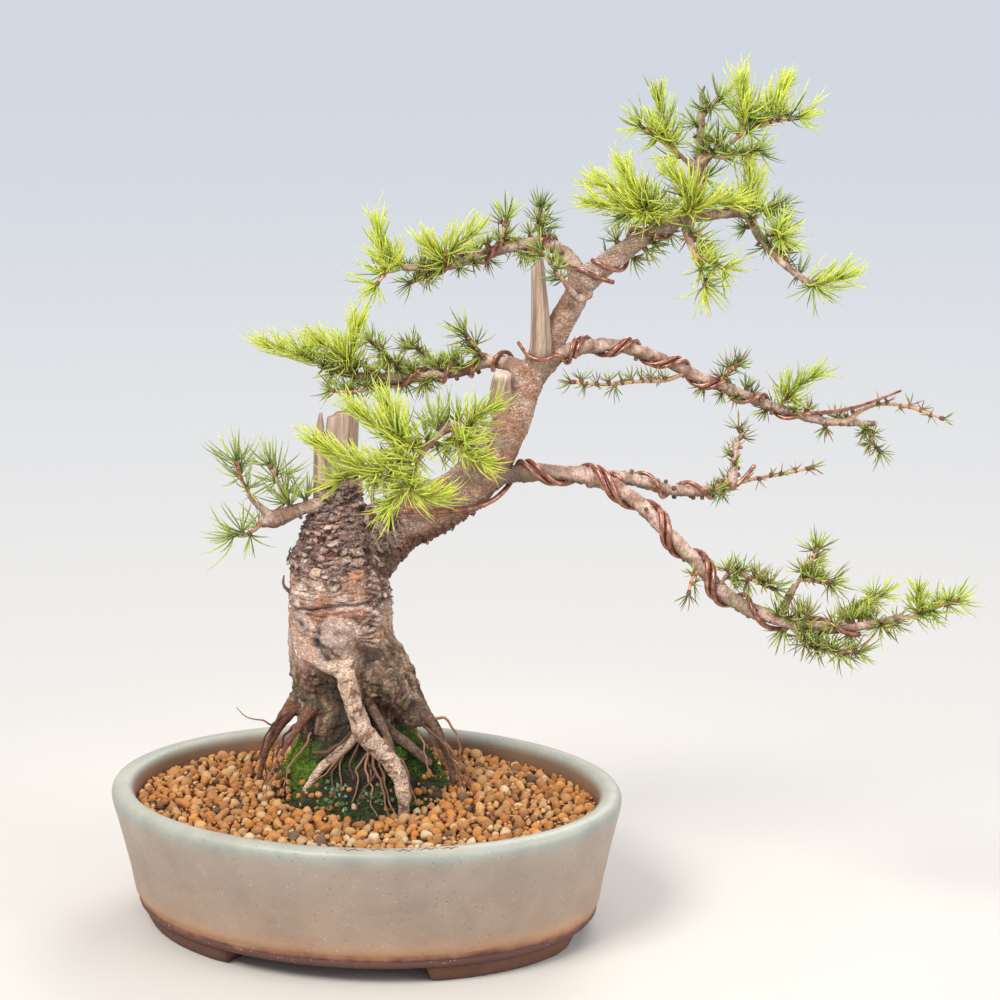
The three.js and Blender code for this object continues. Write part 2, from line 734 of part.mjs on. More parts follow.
// A twig's rings: plain stem between buds, and a short band of needles on each bud for every tilt.
// Each band of needles leans by its own tilt from the twig's direction.
const ROSETTE_TILTS = [1.35, 0.7];
const SHOOT_TILTS = [1.05, 0.75];

function twigRings(run, tufts, kind) {
  const samples = sampleRun(run.map(([x, y, z]) => [x, y, z, TWIG_RADIUS]), 8);
  const tilts = kind === 'shoot' ? SHOOT_TILTS : ROSETTE_TILTS;
  const length = samples.slice(1).reduce((sum, s, k) => sum + s.at.distanceTo(samples[k].at), 0);
  const bud = kind === 'shoot' ? TWIG_RADIUS : BUD_RADIUS;
  const bandShare = 1.3 / length;
  const rows = [{ share: 0, radius: TWIG_RADIUS, tilt: null }];
  for (let k = 0; k < tufts; k += 1) {
    const start = Math.min(1 - 3.2 * bandShare, 0.22 + (0.74 * (k + 1)) / tufts);
    tilts.forEach((tilt, i) => {
      rows.push({
        share: start + i * bandShare,
        radius: i === 0 ? TWIG_RADIUS : bud,
        tilt,
      });
    });
    rows.push({ share: start + tilts.length * bandShare, radius: TWIG_RADIUS * 0.9, tilt: null });
  }
  for (let i = 1; i + 1 < run.length; i += 1) {
    const share = i / (run.length - 1);
    const before = rows.filter((row) => row.share < share);
    const clear = rows.every((row) => Math.abs(row.share - share) > bandShare);
    if (clear && before[before.length - 1].tilt === null) {
      rows.splice(before.length, 0, { share, radius: TWIG_RADIUS, tilt: null });
    }
  }
  return { samples, rows };
}

function sampleAt(samples, share) {
  const place = Math.min(0.9999, Math.max(0, share)) * (samples.length - 1);
  const i = Math.floor(place);
  const from = samples[i];
  const to = samples[i + 1];
  return { ...from, at: from.at.clone().lerp(to.at, place - i) };
}

// A twig as one body: a flagged face of it becomes a three-sided needle where that clears all else
function twigSolid(run, tufts, kind, obstacles) {
  const { samples, rows } = twigRings(run, tufts, kind);
  const points = [];
  const faces = [];
  const spikes = [];
  const tail = samples[0];
  points.push(tail.at.clone().addScaledVector(tail.ahead, -0.5));
  rows.forEach((row, k) => {
    const sample = sampleAt(samples, row.share);
    const turn = (k % 2) * (Math.PI / TWIG_SIDES);
    for (let i = 0; i < TWIG_SIDES; i += 1) {
      points.push(aroundSample(sample, turn + (2 * Math.PI * i) / TWIG_SIDES, row.radius));
    }
  });
  const tip = sampleAt(samples, 1);
  const end = points.length;
  points.push(tip.at.clone().addScaledVector(tip.ahead, 1.2));
  const ring = (k, i) => 1 + k * TWIG_SIDES + (i % TWIG_SIDES);
  for (let i = 0; i < TWIG_SIDES; i += 1) faces.push([0, ring(0, i + 1), ring(0, i)]);
  for (let k = 0; k + 1 < rows.length; k += 1) {
    const shift = k % 2;
    for (let i = 0; i < TWIG_SIDES; i += 1) {
      const pair = [
        [ring(k, i), ring(k, i + 1), ring(k + 1, i + shift)],
        [ring(k, i + 1), ring(k + 1, i + 1 + shift), ring(k + 1, i + shift)],
      ];
      for (const face of pair) {
        if (rows[k].tilt === null) faces.push(face);
        else spikes.push({ face, share: rows[k].share, tilt: rows[k].tilt });
      }
    }
  }
  const last = rows.length - 1;
  for (let i = 0; i < TWIG_SIDES; i += 1) {
    spikes.push({ face: [ring(last, i), ring(last, i + 1), end], share: 1, tilt: 0.25 });
  }
  const own = [];
  for (const spike of spikes) {
    const grownNeedle = needleOn(spike, points, samples, obstacles, own);
    if (!grownNeedle) {
      faces.push(spike.face);
      continue;
    }
    own.push(grownNeedle);
    const apex = points.length;
    points.push(grownNeedle.b);
    const [a, b, c] = spike.face;
    faces.push([a, b, apex], [b, c, apex], [c, a, apex]);
  }
  return { solid: solidOf(geometryOf(points, faces.flat())), samples, needles: own };
}

// One needle on a face, or null where it would come too near something
function needleOn(spike, points, samples, obstacles, own) {
  if (random() < BARE_SHARE) return null;
  const [a, b, c] = spike.face.map((i) => points[i]);
  const root = new THREE.Vector3().add(a).add(b).add(c).divideScalar(3);
  const normal = new THREE.Vector3().subVectors(b, a)
    .cross(new THREE.Vector3().subVectors(c, a)).normalize();
  const sample = sampleAt(samples, spike.share);
  const outward = new THREE.Vector3().subVectors(root, sample.at);
  outward.addScaledVector(sample.ahead, -outward.dot(sample.ahead)).normalize();
  const aim = new THREE.Vector3()
    .addScaledVector(outward, Math.sin(spike.tilt))
    .addScaledVector(sample.ahead, Math.cos(spike.tilt));
  aim.lerp(normal, 0.15);
  aim.add(new THREE.Vector3(between(-1, 1), between(-1, 1), between(-0.6, 1.2)).multiplyScalar(0.12));
  aim.normalize();
  if (aim.dot(normal) < 0.25) return null;
  const tip = root.clone().addScaledVector(aim, NEEDLE_LENGTH * between(0.8, 1.1));
  const from = root.clone().addScaledVector(aim, 1.4);
  const needle = { a: from, b: tip, ra: NEEDLE_ROOT_RADIUS, rb: 0.1 };
  const box = boxOf(needle);
  for (const thing of obstacles) {
    if (thing.box.intersectsBox(box) && clearance(needle, thing) < NEEDLE_CLEARANCE) return null;
  }
  for (const other of own) {
    if (clearance(needle, other) < -0.6) return null;
  }
  return needle;
}

// Leafy twigs: colour, then each twig's run, its number of tufts and whether it is a shoot or has rosettes
const SPRAYS = {
  spray_leader: ['green',
    [[[188, 2, 460], [192, -2, 466], [196, -6, 470]], 1, 'rosette']],
  spray_apex_left: ['green',
    [[[182, -1, 436], [171, -6, 446], [155, -10, 456]], 2, 'rosette'],
    [[[171, -6, 446], [167, -9, 458], [164, -12, 470]], 2, 'shoot']],
  spray_apex_right: ['lime',
    [[[200, -3, 444], [211, -6, 453], [222, -9, 458], [238, -12, 461]], 2, 'rosette'],
    [[[211, -6, 453], [210, -8, 464], [208, -12, 477]], 2, 'shoot'],
    [[[222, -9, 458], [226, -7, 466], [231, -4, 476]], 2, 'shoot']],
  spray_apex_inner: ['dark',
    [[[193, -2, 441], [199, -10, 440], [207, -16, 442], [216, -20, 444]], 2, 'rosette']],
  spray_crown_left: ['lime',
    [[[168, -2, 403], [158, -14, 411], [144, -20, 415], [131, -24, 416]], 3, 'shoot'],
    [[[158, -14, 411], [148, -10, 419], [135, -6, 425]], 2, 'shoot'],
    [[[161, -12, 409], [154, -18, 420], [146, -22, 432]], 2, 'shoot']],
  spray_crown_right: ['lime',
    [[[178, -3, 408], [184, -14, 414], [193, -19, 416], [202, -22, 417]], 3, 'shoot'],
    [[[183, -12, 413], [180, -18, 423], [172, -22, 430]], 2, 'shoot']],
  spray_crown_back: ['dark',
    [[[168, -1, 402], [165, 12, 407], [157, 20, 408], [147, 26, 406]], 2, 'rosette']],
  spray_knot_up: ['lime',
    [[[212, 1, 408], [217, 4, 420], [216, 5, 432]], 2, 'shoot']],
  spray_knot_right: ['dark',
    [[[213, 1, 408], [222, 9, 411], [232, 13, 413]], 2, 'rosette']],
  spray_droop_middle: ['lime',
    [[[222, -6, 396], [227, -14, 400], [230, -20, 398]], 2, 'rosette']],
  spray_droop_tip: ['lime',
    [[[244, -17, 374], [252, -20, 373], [262, -24, 376]], 3, 'shoot']],
  spray_droop_inner: ['dark',
    [[[182, -15, 393], [185, -20, 386], [189, -25, 373]], 2, 'rosette'],
    [[[185, -20, 387], [192, -22, 385], [198, -24, 382]], 1, 'rosette']],
  spray_upper_tip: ['lime',
    [[[28, 20, 378], [17, 20, 381], [12, 18, 390], [11, 16, 398]], 3, 'shoot'],
    [[[18, 20, 380], [14, 14, 375], [10, 10, 370]], 1, 'rosette']],
  spray_upper_middle: ['lime',
    [[[50, 19, 380], [46, 11, 385], [40, 7, 391]], 2, 'shoot'],
    [[[46, 11, 385], [55, 8, 392], [62, 6, 397]], 2, 'shoot']],
  spray_upper_inner: ['green',
    [[[78, 20, 387], [80, 15, 396], [82, 13, 405]], 2, 'rosette']],
  spray_upper_root: ['dark',
    [[[102, 18, 391], [100, 21, 400], [101, 25, 410]], 2, 'rosette']],
  spray_upper_low: ['dark',
    [[[36, 20, 380], [36, 27, 373], [28, 32, 369]], 2, 'rosette']],
  spray_upper_front: ['dark',
    [[[117, -17, 369], [110, -21, 378], [101, -23, 390]], 2, 'rosette']],
  spray_middle_tip: ['lime',
    [[[-22, 36, 320], [-33, 36, 326], [-42, 34, 329], [-51, 32, 332]], 3, 'shoot']],
  spray_middle_up: ['lime',
    [[[-7, 36, 315], [-8, 30, 325], [-5, 28, 334], [-3, 27, 343]], 3, 'shoot'],
    [[[-8, 30, 325], [-16, 25, 331], [-23, 22, 335]], 2, 'shoot']],
  spray_middle_pad_left: ['green',
    [[[20, 35, 314], [18, 27, 323], [13, 23, 330], [6, 21, 336]], 2, 'rosette']],
  spray_middle_pad_right: ['green',
    [[[44, 33, 315], [40, 40, 322], [34, 44, 328], [26, 48, 330]], 2, 'rosette']],
  spray_middle_low: ['dark',
    [[[6, 35, 314], [3, 29, 309], [-7, 25, 307], [-17, 24, 308]], 2, 'rosette']],
  spray_middle_plume: ['green',
    [[[72, 27, 324], [66, 20, 332], [59, 17, 341]], 2, 'rosette']],
  spray_front_upper: ['lime',
    [[[38, -38, 287], [27, -48, 290], [16, -54, 299], [4, -58, 308]], 3, 'shoot'],
    [[[27, -48, 290], [23, -44, 300], [18, -42, 309]], 2, 'shoot']],
  spray_front_left: ['lime',
    [[[35, -43, 281], [16, -52, 276], [-1, -58, 282], [-18, -62, 292]], 3, 'shoot'],
    [[[16, -52, 276], [4, -48, 270], [-7, -44, 269]], 2, 'rosette']],
  spray_front_low: ['lime',
    [[[35, -43, 280], [27, -52, 267], [20, -56, 258]], 2, 'shoot'],
    [[[27, -52, 267], [36, -56, 263], [44, -58, 263]], 2, 'shoot']],
  spray_front_right: ['lime',
    [[[52, -28, 294], [60, -40, 284], [68, -46, 280]], 2, 'shoot']],
  spray_front_top: ['green',
    [[[60, -17, 292], [64, -28, 301], [73, -32, 306]], 2, 'shoot']],
  spray_left_tip: ['green',
    [[[-61, -6, 252], [-66, -8, 262], [-68, -10, 272]], 2, 'rosette']],
  spray_left_up: ['green',
    [[[-38, 1, 242], [-43, 8, 250], [-48, 11, 258], [-52, 13, 266]], 2, 'rosette']],
  spray_left_down: ['green',
    [[[-54, -5, 238], [-62, -8, 232], [-70, -10, 231]], 2, 'rosette']],
  spray_right_upper: ['dark',
    [[[204, 23, 311], [206, 16, 318], [212, 12, 324]], 2, 'rosette']],
  spray_right_fan: ['lime',
    [[[239, 32, 297], [244, 27, 305], [250, 25, 312], [257, 23, 317]], 3, 'shoot']],
  spray_right_drop: ['dark',
    [[[291, 42, 286], [295, 40, 277], [299, 38, 271]], 1, 'rosette']],
  spray_right_tip: ['dark',
    [[[287, 38, 294], [296, 36, 298], [310, 34, 298], [333, 30, 291]], 3, 'rosette']],
  spray_lower_twig: ['dark',
    [[[184, 19, 319], [172, 9, 316], [155, 3, 316], [137, -2, 315], [119, -6, 317]], 2, 'rosette']],
  spray_fork_up: ['dark',
    [[[215, 22, 281], [216, 20, 287], [214, 16, 292]], 1, 'rosette']],
  spray_fork_tip: ['dark',
    [[[212, 20, 254], [226, 24, 257], [243, 28, 259], [259, 32, 262]], 2, 'rosette']],
  spray_low_hang: ['green',
    [[[190, -23, 215], [185, -29, 210], [183, -32, 203]], 1, 'rosette']],
  spray_low_inner: ['dark',
    [[[200, -27, 205], [207, -33, 216], [217, -38, 212], [228, -42, 208]], 2, 'rosette']],
  spray_low_up: ['dark',
    [[[241, -38, 208], [247, -36, 218], [253, -34, 228]], 2, 'rosette'],
    [[[243, -37, 212], [250, -45, 213], [258, -51, 214]], 2, 'rosette']],
  spray_low_middle: ['green',
    [[[262, -50, 188], [269, -42, 196], [278, -37, 199], [289, -33, 202]], 2, 'rosette']],
  spray_low_tip: ['lime',
    [[[295, -61, 196], [304, -63, 198], [311, -66, 203], [322, -70, 208]], 3, 'rosette'],
    [[[304, -63, 198], [302, -70, 206], [301, -75, 214]], 2, 'shoot']],
  spray_low_under: ['dark',
    [[[240, -43, 190], [243, -51, 181], [256, -56, 177], [272, -60, 177]], 2, 'rosette']],
};

function growSprays(limbs, wires) {
  const obstacles = [];
  const addObstacles = (segments) => {
    for (const segment of segments) obstacles.push({ ...segment, box: boxOf(segment) });
  };
  for (const limb of limbs) {
    addObstacles(segmentsOf(limb.samples, GAP, LIMBS[limb.name].bark));
  }
  for (const wire of wires) addObstacles(segmentsOf(wire.samples, GAP));
  const cores = {};
  for (const [name, [, ...twigs]] of Object.entries(SPRAYS)) {
    cores[name] = twigs.map(([run]) => sampleRun(run.map(([x, y, z]) => [x, y, z, TWIG_RADIUS]), 4));
  }
  const cutters = limbs.map((limb) => limb.cutter);
  for (const wire of wires) cutters.push(tubeSolid(wire.samples, WIRE_SIDES, SEAT_GAP));
  const sprays = [];
  for (const [name, [colour, ...twigs]] of Object.entries(SPRAYS)) {
    const others = Object.entries(cores)
      .filter(([other]) => other !== name)
      .flatMap(([, runs]) => runs.flatMap((samples) => segmentsOf(samples, 0.6)))
      .map((segment) => ({ ...segment, box: boxOf(segment) }));
    const grown = [];
    for (const [run, tufts, kind] of twigs) {
      const siblings = grown.flatMap((twig) => segmentsOf(twig.samples))
        .map((segment) => ({ ...segment, box: boxOf(segment) }));
      const twig = twigSolid(run, tufts, kind, [...obstacles, ...others, ...siblings]);
      grown.push(twig);
      addObstacles(twig.needles);
    }
    let solid = joined(grown.map((twig) => twig.solid));
    const box = solid.boundingBox();
    for (const cutter of cutters) {
      const other = cutter.boundingBox();
      const apart = [0, 1, 2].some((i) => other.min[i] > box.max[i] || other.max[i] < box.min[i]);
      if (!apart) solid = solid.subtract(cutter);
    }
    sprays.push({ name, colour, solid: largestBody(solid) });
  }
  return sprays;
}

// The whole object
const limbs = growLimbs();
const wires = growWires(limbs);
const sprays = growSprays(limbs, wires);
const standing = joined(limbs.filter((limb) => limb.name === 'bole' || limb.name.startsWith('root'))
  .map((limb) => limb.cutter));

let soil = soilSolid();
for (const side of [-1, 1]) soil = soil.subtract(screenPocket(side));
soil = largestBody(soil.subtract(standing).subtract(moundSolid(GAP)));
const mound = largestBody(moundSolid().subtract(standing));

const bonsai = new THREE.Group();
bonsai.add(meshOf(potSolid(), 'pot', MATERIALS.glaze));
bonsai.add(meshOf(screenSolid(-1), 'drain_screen_left', MATERIALS.screen));
bonsai.add(meshOf(screenSolid(1), 'drain_screen_right', MATERIALS.screen));
bonsai.add(meshOf(soil, 'granular_soil', MATERIALS.granules));
bonsai.add(meshOf(mound, 'moss_mound', MATERIALS.moss));
bonsai.add(meshOf(largestBody(joined(limbs.map((limb) => limb.solid))), 'tree', MATERIALS.wood));
for (const wire of wires) bonsai.add(meshOf(wire.solid, wire.name, MATERIALS.wire));
for (const spray of sprays) bonsai.add(meshOf(spray.solid, spray.name, MATERIALS[spray.colour]));

// The origin is the middle of the object's footprint, on the surface that it stands on
bonsai.updateMatrixWorld(true);
const extent = new THREE.Box3().setFromObject(bonsai, true);
bonsai.position.set(-(extent.min.x + extent.max.x) / 2, -(extent.min.y + extent.max.y) / 2, 0);

export default bonsai;
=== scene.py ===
"""A larch bonsai in an oval glazed pot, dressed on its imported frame. Lengths are millimetres until placed."""
import math

import bmesh
import bpy
import numpy as np
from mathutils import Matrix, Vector, noise


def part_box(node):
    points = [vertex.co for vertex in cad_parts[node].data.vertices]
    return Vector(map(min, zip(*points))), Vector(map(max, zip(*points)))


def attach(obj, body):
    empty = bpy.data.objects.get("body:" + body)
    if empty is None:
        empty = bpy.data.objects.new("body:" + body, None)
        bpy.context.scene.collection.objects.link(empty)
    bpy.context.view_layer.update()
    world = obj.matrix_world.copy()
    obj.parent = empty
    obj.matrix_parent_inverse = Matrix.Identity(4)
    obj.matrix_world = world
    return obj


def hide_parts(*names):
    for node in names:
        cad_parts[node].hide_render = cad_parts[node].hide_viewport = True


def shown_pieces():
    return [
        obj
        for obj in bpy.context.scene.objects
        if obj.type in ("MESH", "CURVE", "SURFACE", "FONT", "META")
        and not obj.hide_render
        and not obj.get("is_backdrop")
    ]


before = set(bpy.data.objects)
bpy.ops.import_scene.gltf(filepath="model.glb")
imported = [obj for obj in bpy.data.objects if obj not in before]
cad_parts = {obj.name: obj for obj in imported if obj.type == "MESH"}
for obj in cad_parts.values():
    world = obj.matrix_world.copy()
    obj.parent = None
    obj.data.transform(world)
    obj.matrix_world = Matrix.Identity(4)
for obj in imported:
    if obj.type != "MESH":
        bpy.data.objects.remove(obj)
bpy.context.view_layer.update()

rng = np.random.default_rng(4117)

# The routes are given about the middle of the pot's footprint; the frame's own pot says where that is
pot_low, pot_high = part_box("pot")
ORIGIN = np.array([(pot_low.x + pot_high.x) / 2, (pot_low.y + pot_high.y) / 2, 0.0])
MM = 0.001

SOIL_LEVEL = 71.0
MOUND_CENTRE = np.array([-5.0, 22.0])
MOUND_RADII = np.array([52.0, 56.0])
MOUND_HEIGHT = 41.0
MOUND_SHOULDER = 0.53
POT_HALF = np.array([150.0, 112.0])
POT_YAW = -0.196
# The low branch has the thicker wire
WIRE_RADIUS = 1.3
LOW_WIRE_RADIUS = 1.5
WHITE = (1, 1, 1)
NO_QUADS = np.zeros((0, 4), int)


def place(points):
    return np.asarray(points, float) * MM + ORIGIN


def srgb(*rgb):
    c = np.array(rgb, float) / 255
    return np.where(c < 0.04045, c / 12.92, ((c + 0.055) / 1.055) ** 2.4)


def smoothstep(low, high, x):
    t = np.clip((np.asarray(x, float) - low) / (high - low), 0, 1)
    return t * t * (3 - 2 * t)


def mix(a, b, t):
    t = np.asarray(t, float)[..., None]
    return np.asarray(a) * (1 - t) + np.asarray(b) * t


def unit(v):
    return v / np.maximum(np.linalg.norm(v, axis=-1, keepdims=True), 1e-9)


def bell(x, width):
    """1 at zero, and fading out over the given width."""
    return np.exp(-(x / width) ** 2)


def turns_of(sides):
    """Angles spread evenly round a ring."""
    return 2 * np.pi * np.arange(sides) / sides


def noise_at(points, size, offset=0.0):
    """Smooth noise from -1 to 1 with features of about the given size."""
    shifted = np.asarray(points, float) / size + offset
    return np.array([noise.noise(p) for p in shifted.tolist()])


def fractal_at(points, size, offset=0.0, octaves=4):
    shifted = np.asarray(points, float) / size + offset
    return np.array([noise.fractal(p, 0.8, 2.1, octaves) for p in shifted.tolist()])


def cells_at(points, size, offset=0.0):
    """For each point: how near its cell's edge is, the cell's number, and the way from its middle."""
    shifted = np.asarray(points, float) / size + offset
    edge = np.empty(len(shifted))
    number = np.empty(len(shifted))
    way = np.empty((len(shifted), 3))
    for k, p in enumerate(shifted.tolist()):
        distances, middles = noise.voronoi(p)
        edge[k] = distances[1] - distances[0]
        number[k] = noise.cell(middles[0] * 7.3 + Vector((0.5, 0.5, 0.5)))
        way[k] = Vector(p) - middles[0]
    return edge, number, way


class Soup:
    """Collects points, faces and a tint for each point, and makes one mesh of them."""

    def __init__(self):
        self.points, self.tints, self.tris, self.quads = [], [], [], []
        self.count = 0

    def add(self, points, tris=None, quads=None, tint=(1, 1, 1)):
        points = np.asarray(points, float)
        self.points.append(points)
        self.tints.append(np.broadcast_to(np.asarray(tint, float), points.shape).copy())
        if tris is not None and len(tris):
            self.tris.append(np.asarray(tris, int) + self.count)
        if quads is not None and len(quads):
            self.quads.append(np.asarray(quads, int) + self.count)
        self.count += len(points)

    def arrays(self):
        tris = np.concatenate(self.tris) if self.tris else np.zeros((0, 3), int)
        quads = np.concatenate(self.quads) if self.quads else NO_QUADS
        return np.concatenate(self.points), tris, quads, np.concatenate(self.tints)


def raw_mesh(name, points, tris, quads):
    mesh = bpy.data.meshes.new(name)
    mesh.vertices.add(len(points))
    mesh.vertices.foreach_set("co", np.asarray(points, np.float32).ravel())
    loops = np.concatenate([tris.ravel(), quads.ravel()]).astype(np.int32)
    sizes = np.concatenate([np.full(len(tris), 3), np.full(len(quads), 4)])
    mesh.loops.add(len(loops))
    mesh.loops.foreach_set("vertex_index", loops)
    mesh.polygons.add(len(sizes))
    mesh.polygons.foreach_set("loop_start", (np.cumsum(sizes) - sizes).astype(np.int32))
    mesh.update(calc_edges=True)
    mesh.validate()
    return mesh


def ring_quads(rings, sides):
    """Four-sided faces between rings of points, each ring joined to the next."""
    k = np.arange(rings - 1)[:, None] * sides
    i = np.arange(sides)[None, :]
    j = (i + 1) % sides
    return np.stack([k + i, k + j, k + sides + j, k + sides + i], axis=-1).reshape(-1, 4)


def fan(tip, first, sides, way=1):
    """Triangles from a tip to the ring that starts at the first point; way -1 turns them over."""
    around = np.arange(sides)
    return np.stack([np.full(sides, tip), first + around, first + (around + 1) % sides][::way], axis=1)


def capped(points, sides, low, high, tints):
    """Rings of points, closed by a fan to one tip at the first ring and to another at the last."""
    count = len(points)
    tris = np.vstack([fan(count, 0, sides, -1), fan(count + 1, count - sides, sides)])
    return np.vstack([points, low, high]), tris, ring_quads(count // sides, sides), tints


def paint(mesh, name, colours):
    layer = mesh.attributes.new(name, "FLOAT_COLOR", "POINT")
    rgba = np.concatenate([colours, np.ones((len(colours), 1))], axis=1)
    layer.data.foreach_set("color", rgba.astype(np.float32).ravel())


def piece(name, arrays, material, replaces=(), smooth=True, zone=None, sharp=None):
    points, tris, quads, tints = arrays
    mesh = raw_mesh(name, place(points), tris, quads)
    paint(mesh, "tint", tints)
    if sharp is not None:
        ends = np.empty(2 * len(mesh.edges), np.int32)
        mesh.edges.foreach_get("vertices", ends)
        on_rim = np.zeros(len(points), bool)
        on_rim[sharp] = True
        layer = mesh.attributes.new("sharp_edge", "BOOLEAN", "EDGE")
        layer.data.foreach_set("value", on_rim[ends.reshape(-1, 2)].all(1))
    if zone is not None:
        paint(mesh, "zone", zone)
    mesh.polygons.foreach_set("use_smooth", np.full(len(mesh.polygons), smooth))
    mesh.materials.append(material)
    obj = bpy.data.objects.new(name, mesh)
    bpy.context.scene.collection.objects.link(obj)
    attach(obj, "root")
    if replaces:
        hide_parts(*replaces)
    return obj


# Materials: each takes its tint from the mesh and adds its own fine grain, gloss and relief
class Shader:
    def __init__(self, name, roughness, **constants):
        self.material = bpy.data.materials.new(name)
        self.material.use_nodes = True
        self.tree = self.material.node_tree
        self.bsdf = self.tree.nodes["Principled BSDF"]
        self.bsdf.inputs["Roughness"].default_value = roughness
        for key, value in constants.items():
            self.bsdf.inputs[key.replace("_", " ")].default_value = value
        self.coords = self.node("ShaderNodeTexCoord").outputs["Object"]

    def node(self, kind, **settings):
        made = self.tree.nodes.new(kind)
        for key, value in settings.items():
            setattr(made, key, value)
        return made

    def link(self, source, target):
        self.tree.links.new(source, target)

    def feed(self, socket, value):
        """Gives a socket another socket, a colour or a number."""
        if isinstance(value, bpy.types.NodeSocket):
            self.link(value, socket)
        else:
            socket.default_value = (*value, 1) if np.shape(value) else value

    def stretched(self, scale):
        mapping = self.node("ShaderNodeMapping")
        mapping.inputs["Scale"].default_value = scale
        self.link(self.coords, mapping.inputs["Vector"])
        return mapping.outputs["Vector"]

    def noise(self, size_mm, detail=4, rough=0.55, vector=None):
        made = self.node("ShaderNodeTexNoise")
        made.inputs["Scale"].default_value = 1000 / size_mm
        made.inputs["Detail"].default_value = detail
        made.inputs["Roughness"].default_value = rough
        self.link(vector or self.coords, made.inputs["Vector"])
        return made.outputs["Fac"]

    def cells(self, size_mm, feature="F1", vector=None):
        made = self.node("ShaderNodeTexVoronoi", feature=feature)
        made.inputs["Scale"].default_value = 1000 / size_mm
        self.link(vector or self.coords, made.inputs["Vector"])
        return made

    def ramp(self, source, stops):
        made = self.node("ShaderNodeValToRGB")
        elements = made.color_ramp.elements
        while len(elements) < len(stops):
            elements.new(0.5)
        for element, (position, colour) in zip(elements, stops):
            element.position = position
            element.color = (*colour, 1) if len(np.shape(colour)) else (colour, colour, colour, 1)
        self.link(source, made.inputs["Fac"])
        return made.outputs["Color"]

    def blend(self, kind, a, b, factor=1.0):
        made = self.node("ShaderNodeMix", data_type="RGBA", blend_type=kind)
        for socket, value in ((made.inputs[0], factor), (made.inputs[6], a), (made.inputs[7], b)):
            self.feed(socket, value)
        return made.outputs[2]

    def math(self, operation, a, b=0.0, c=0.0, clamp=False):
        made = self.node("ShaderNodeMath", operation=operation, use_clamp=clamp)
        for socket, value in zip(made.inputs, (a, b, c)):
            self.feed(socket, value)
        return made.outputs[0]

    def tint(self):
        made = self.node("ShaderNodeAttribute", attribute_name="tint")
        return made.outputs["Color"]

    def colour(self, source):
        self.link(source, self.bsdf.inputs["Base Color"])

    def roughness(self, source, low, high):
        span = self.node("ShaderNodeMapRange")
        span.inputs["To Min"].default_value = low
        span.inputs["To Max"].default_value = high
        self.link(source, span.inputs["Value"])
        self.link(span.outputs["Result"], self.bsdf.inputs["Roughness"])

    def bump(self, height, depth_mm, strength=1.0):
        made = self.node("ShaderNodeBump")
        made.inputs["Strength"].default_value = strength
        made.inputs["Distance"].default_value = depth_mm * MM
        self.link(height, made.inputs["Height"])
        self.link(made.outputs["Normal"], self.bsdf.inputs["Normal"])


def grainy(name, roughness, size_mm, low, high, depth_mm, **constants):
    """Tint times fine grain, with a bump of the same grain."""
    shader = Shader(name, roughness, **constants)
    grain = shader.noise(size_mm, 6, 0.65)
    shade = shader.ramp(grain, [(0.3, low), (0.7, high)])
    shader.colour(shader.blend("MULTIPLY", shader.tint(), shade))
    shader.bump(grain, depth_mm)
    return shader


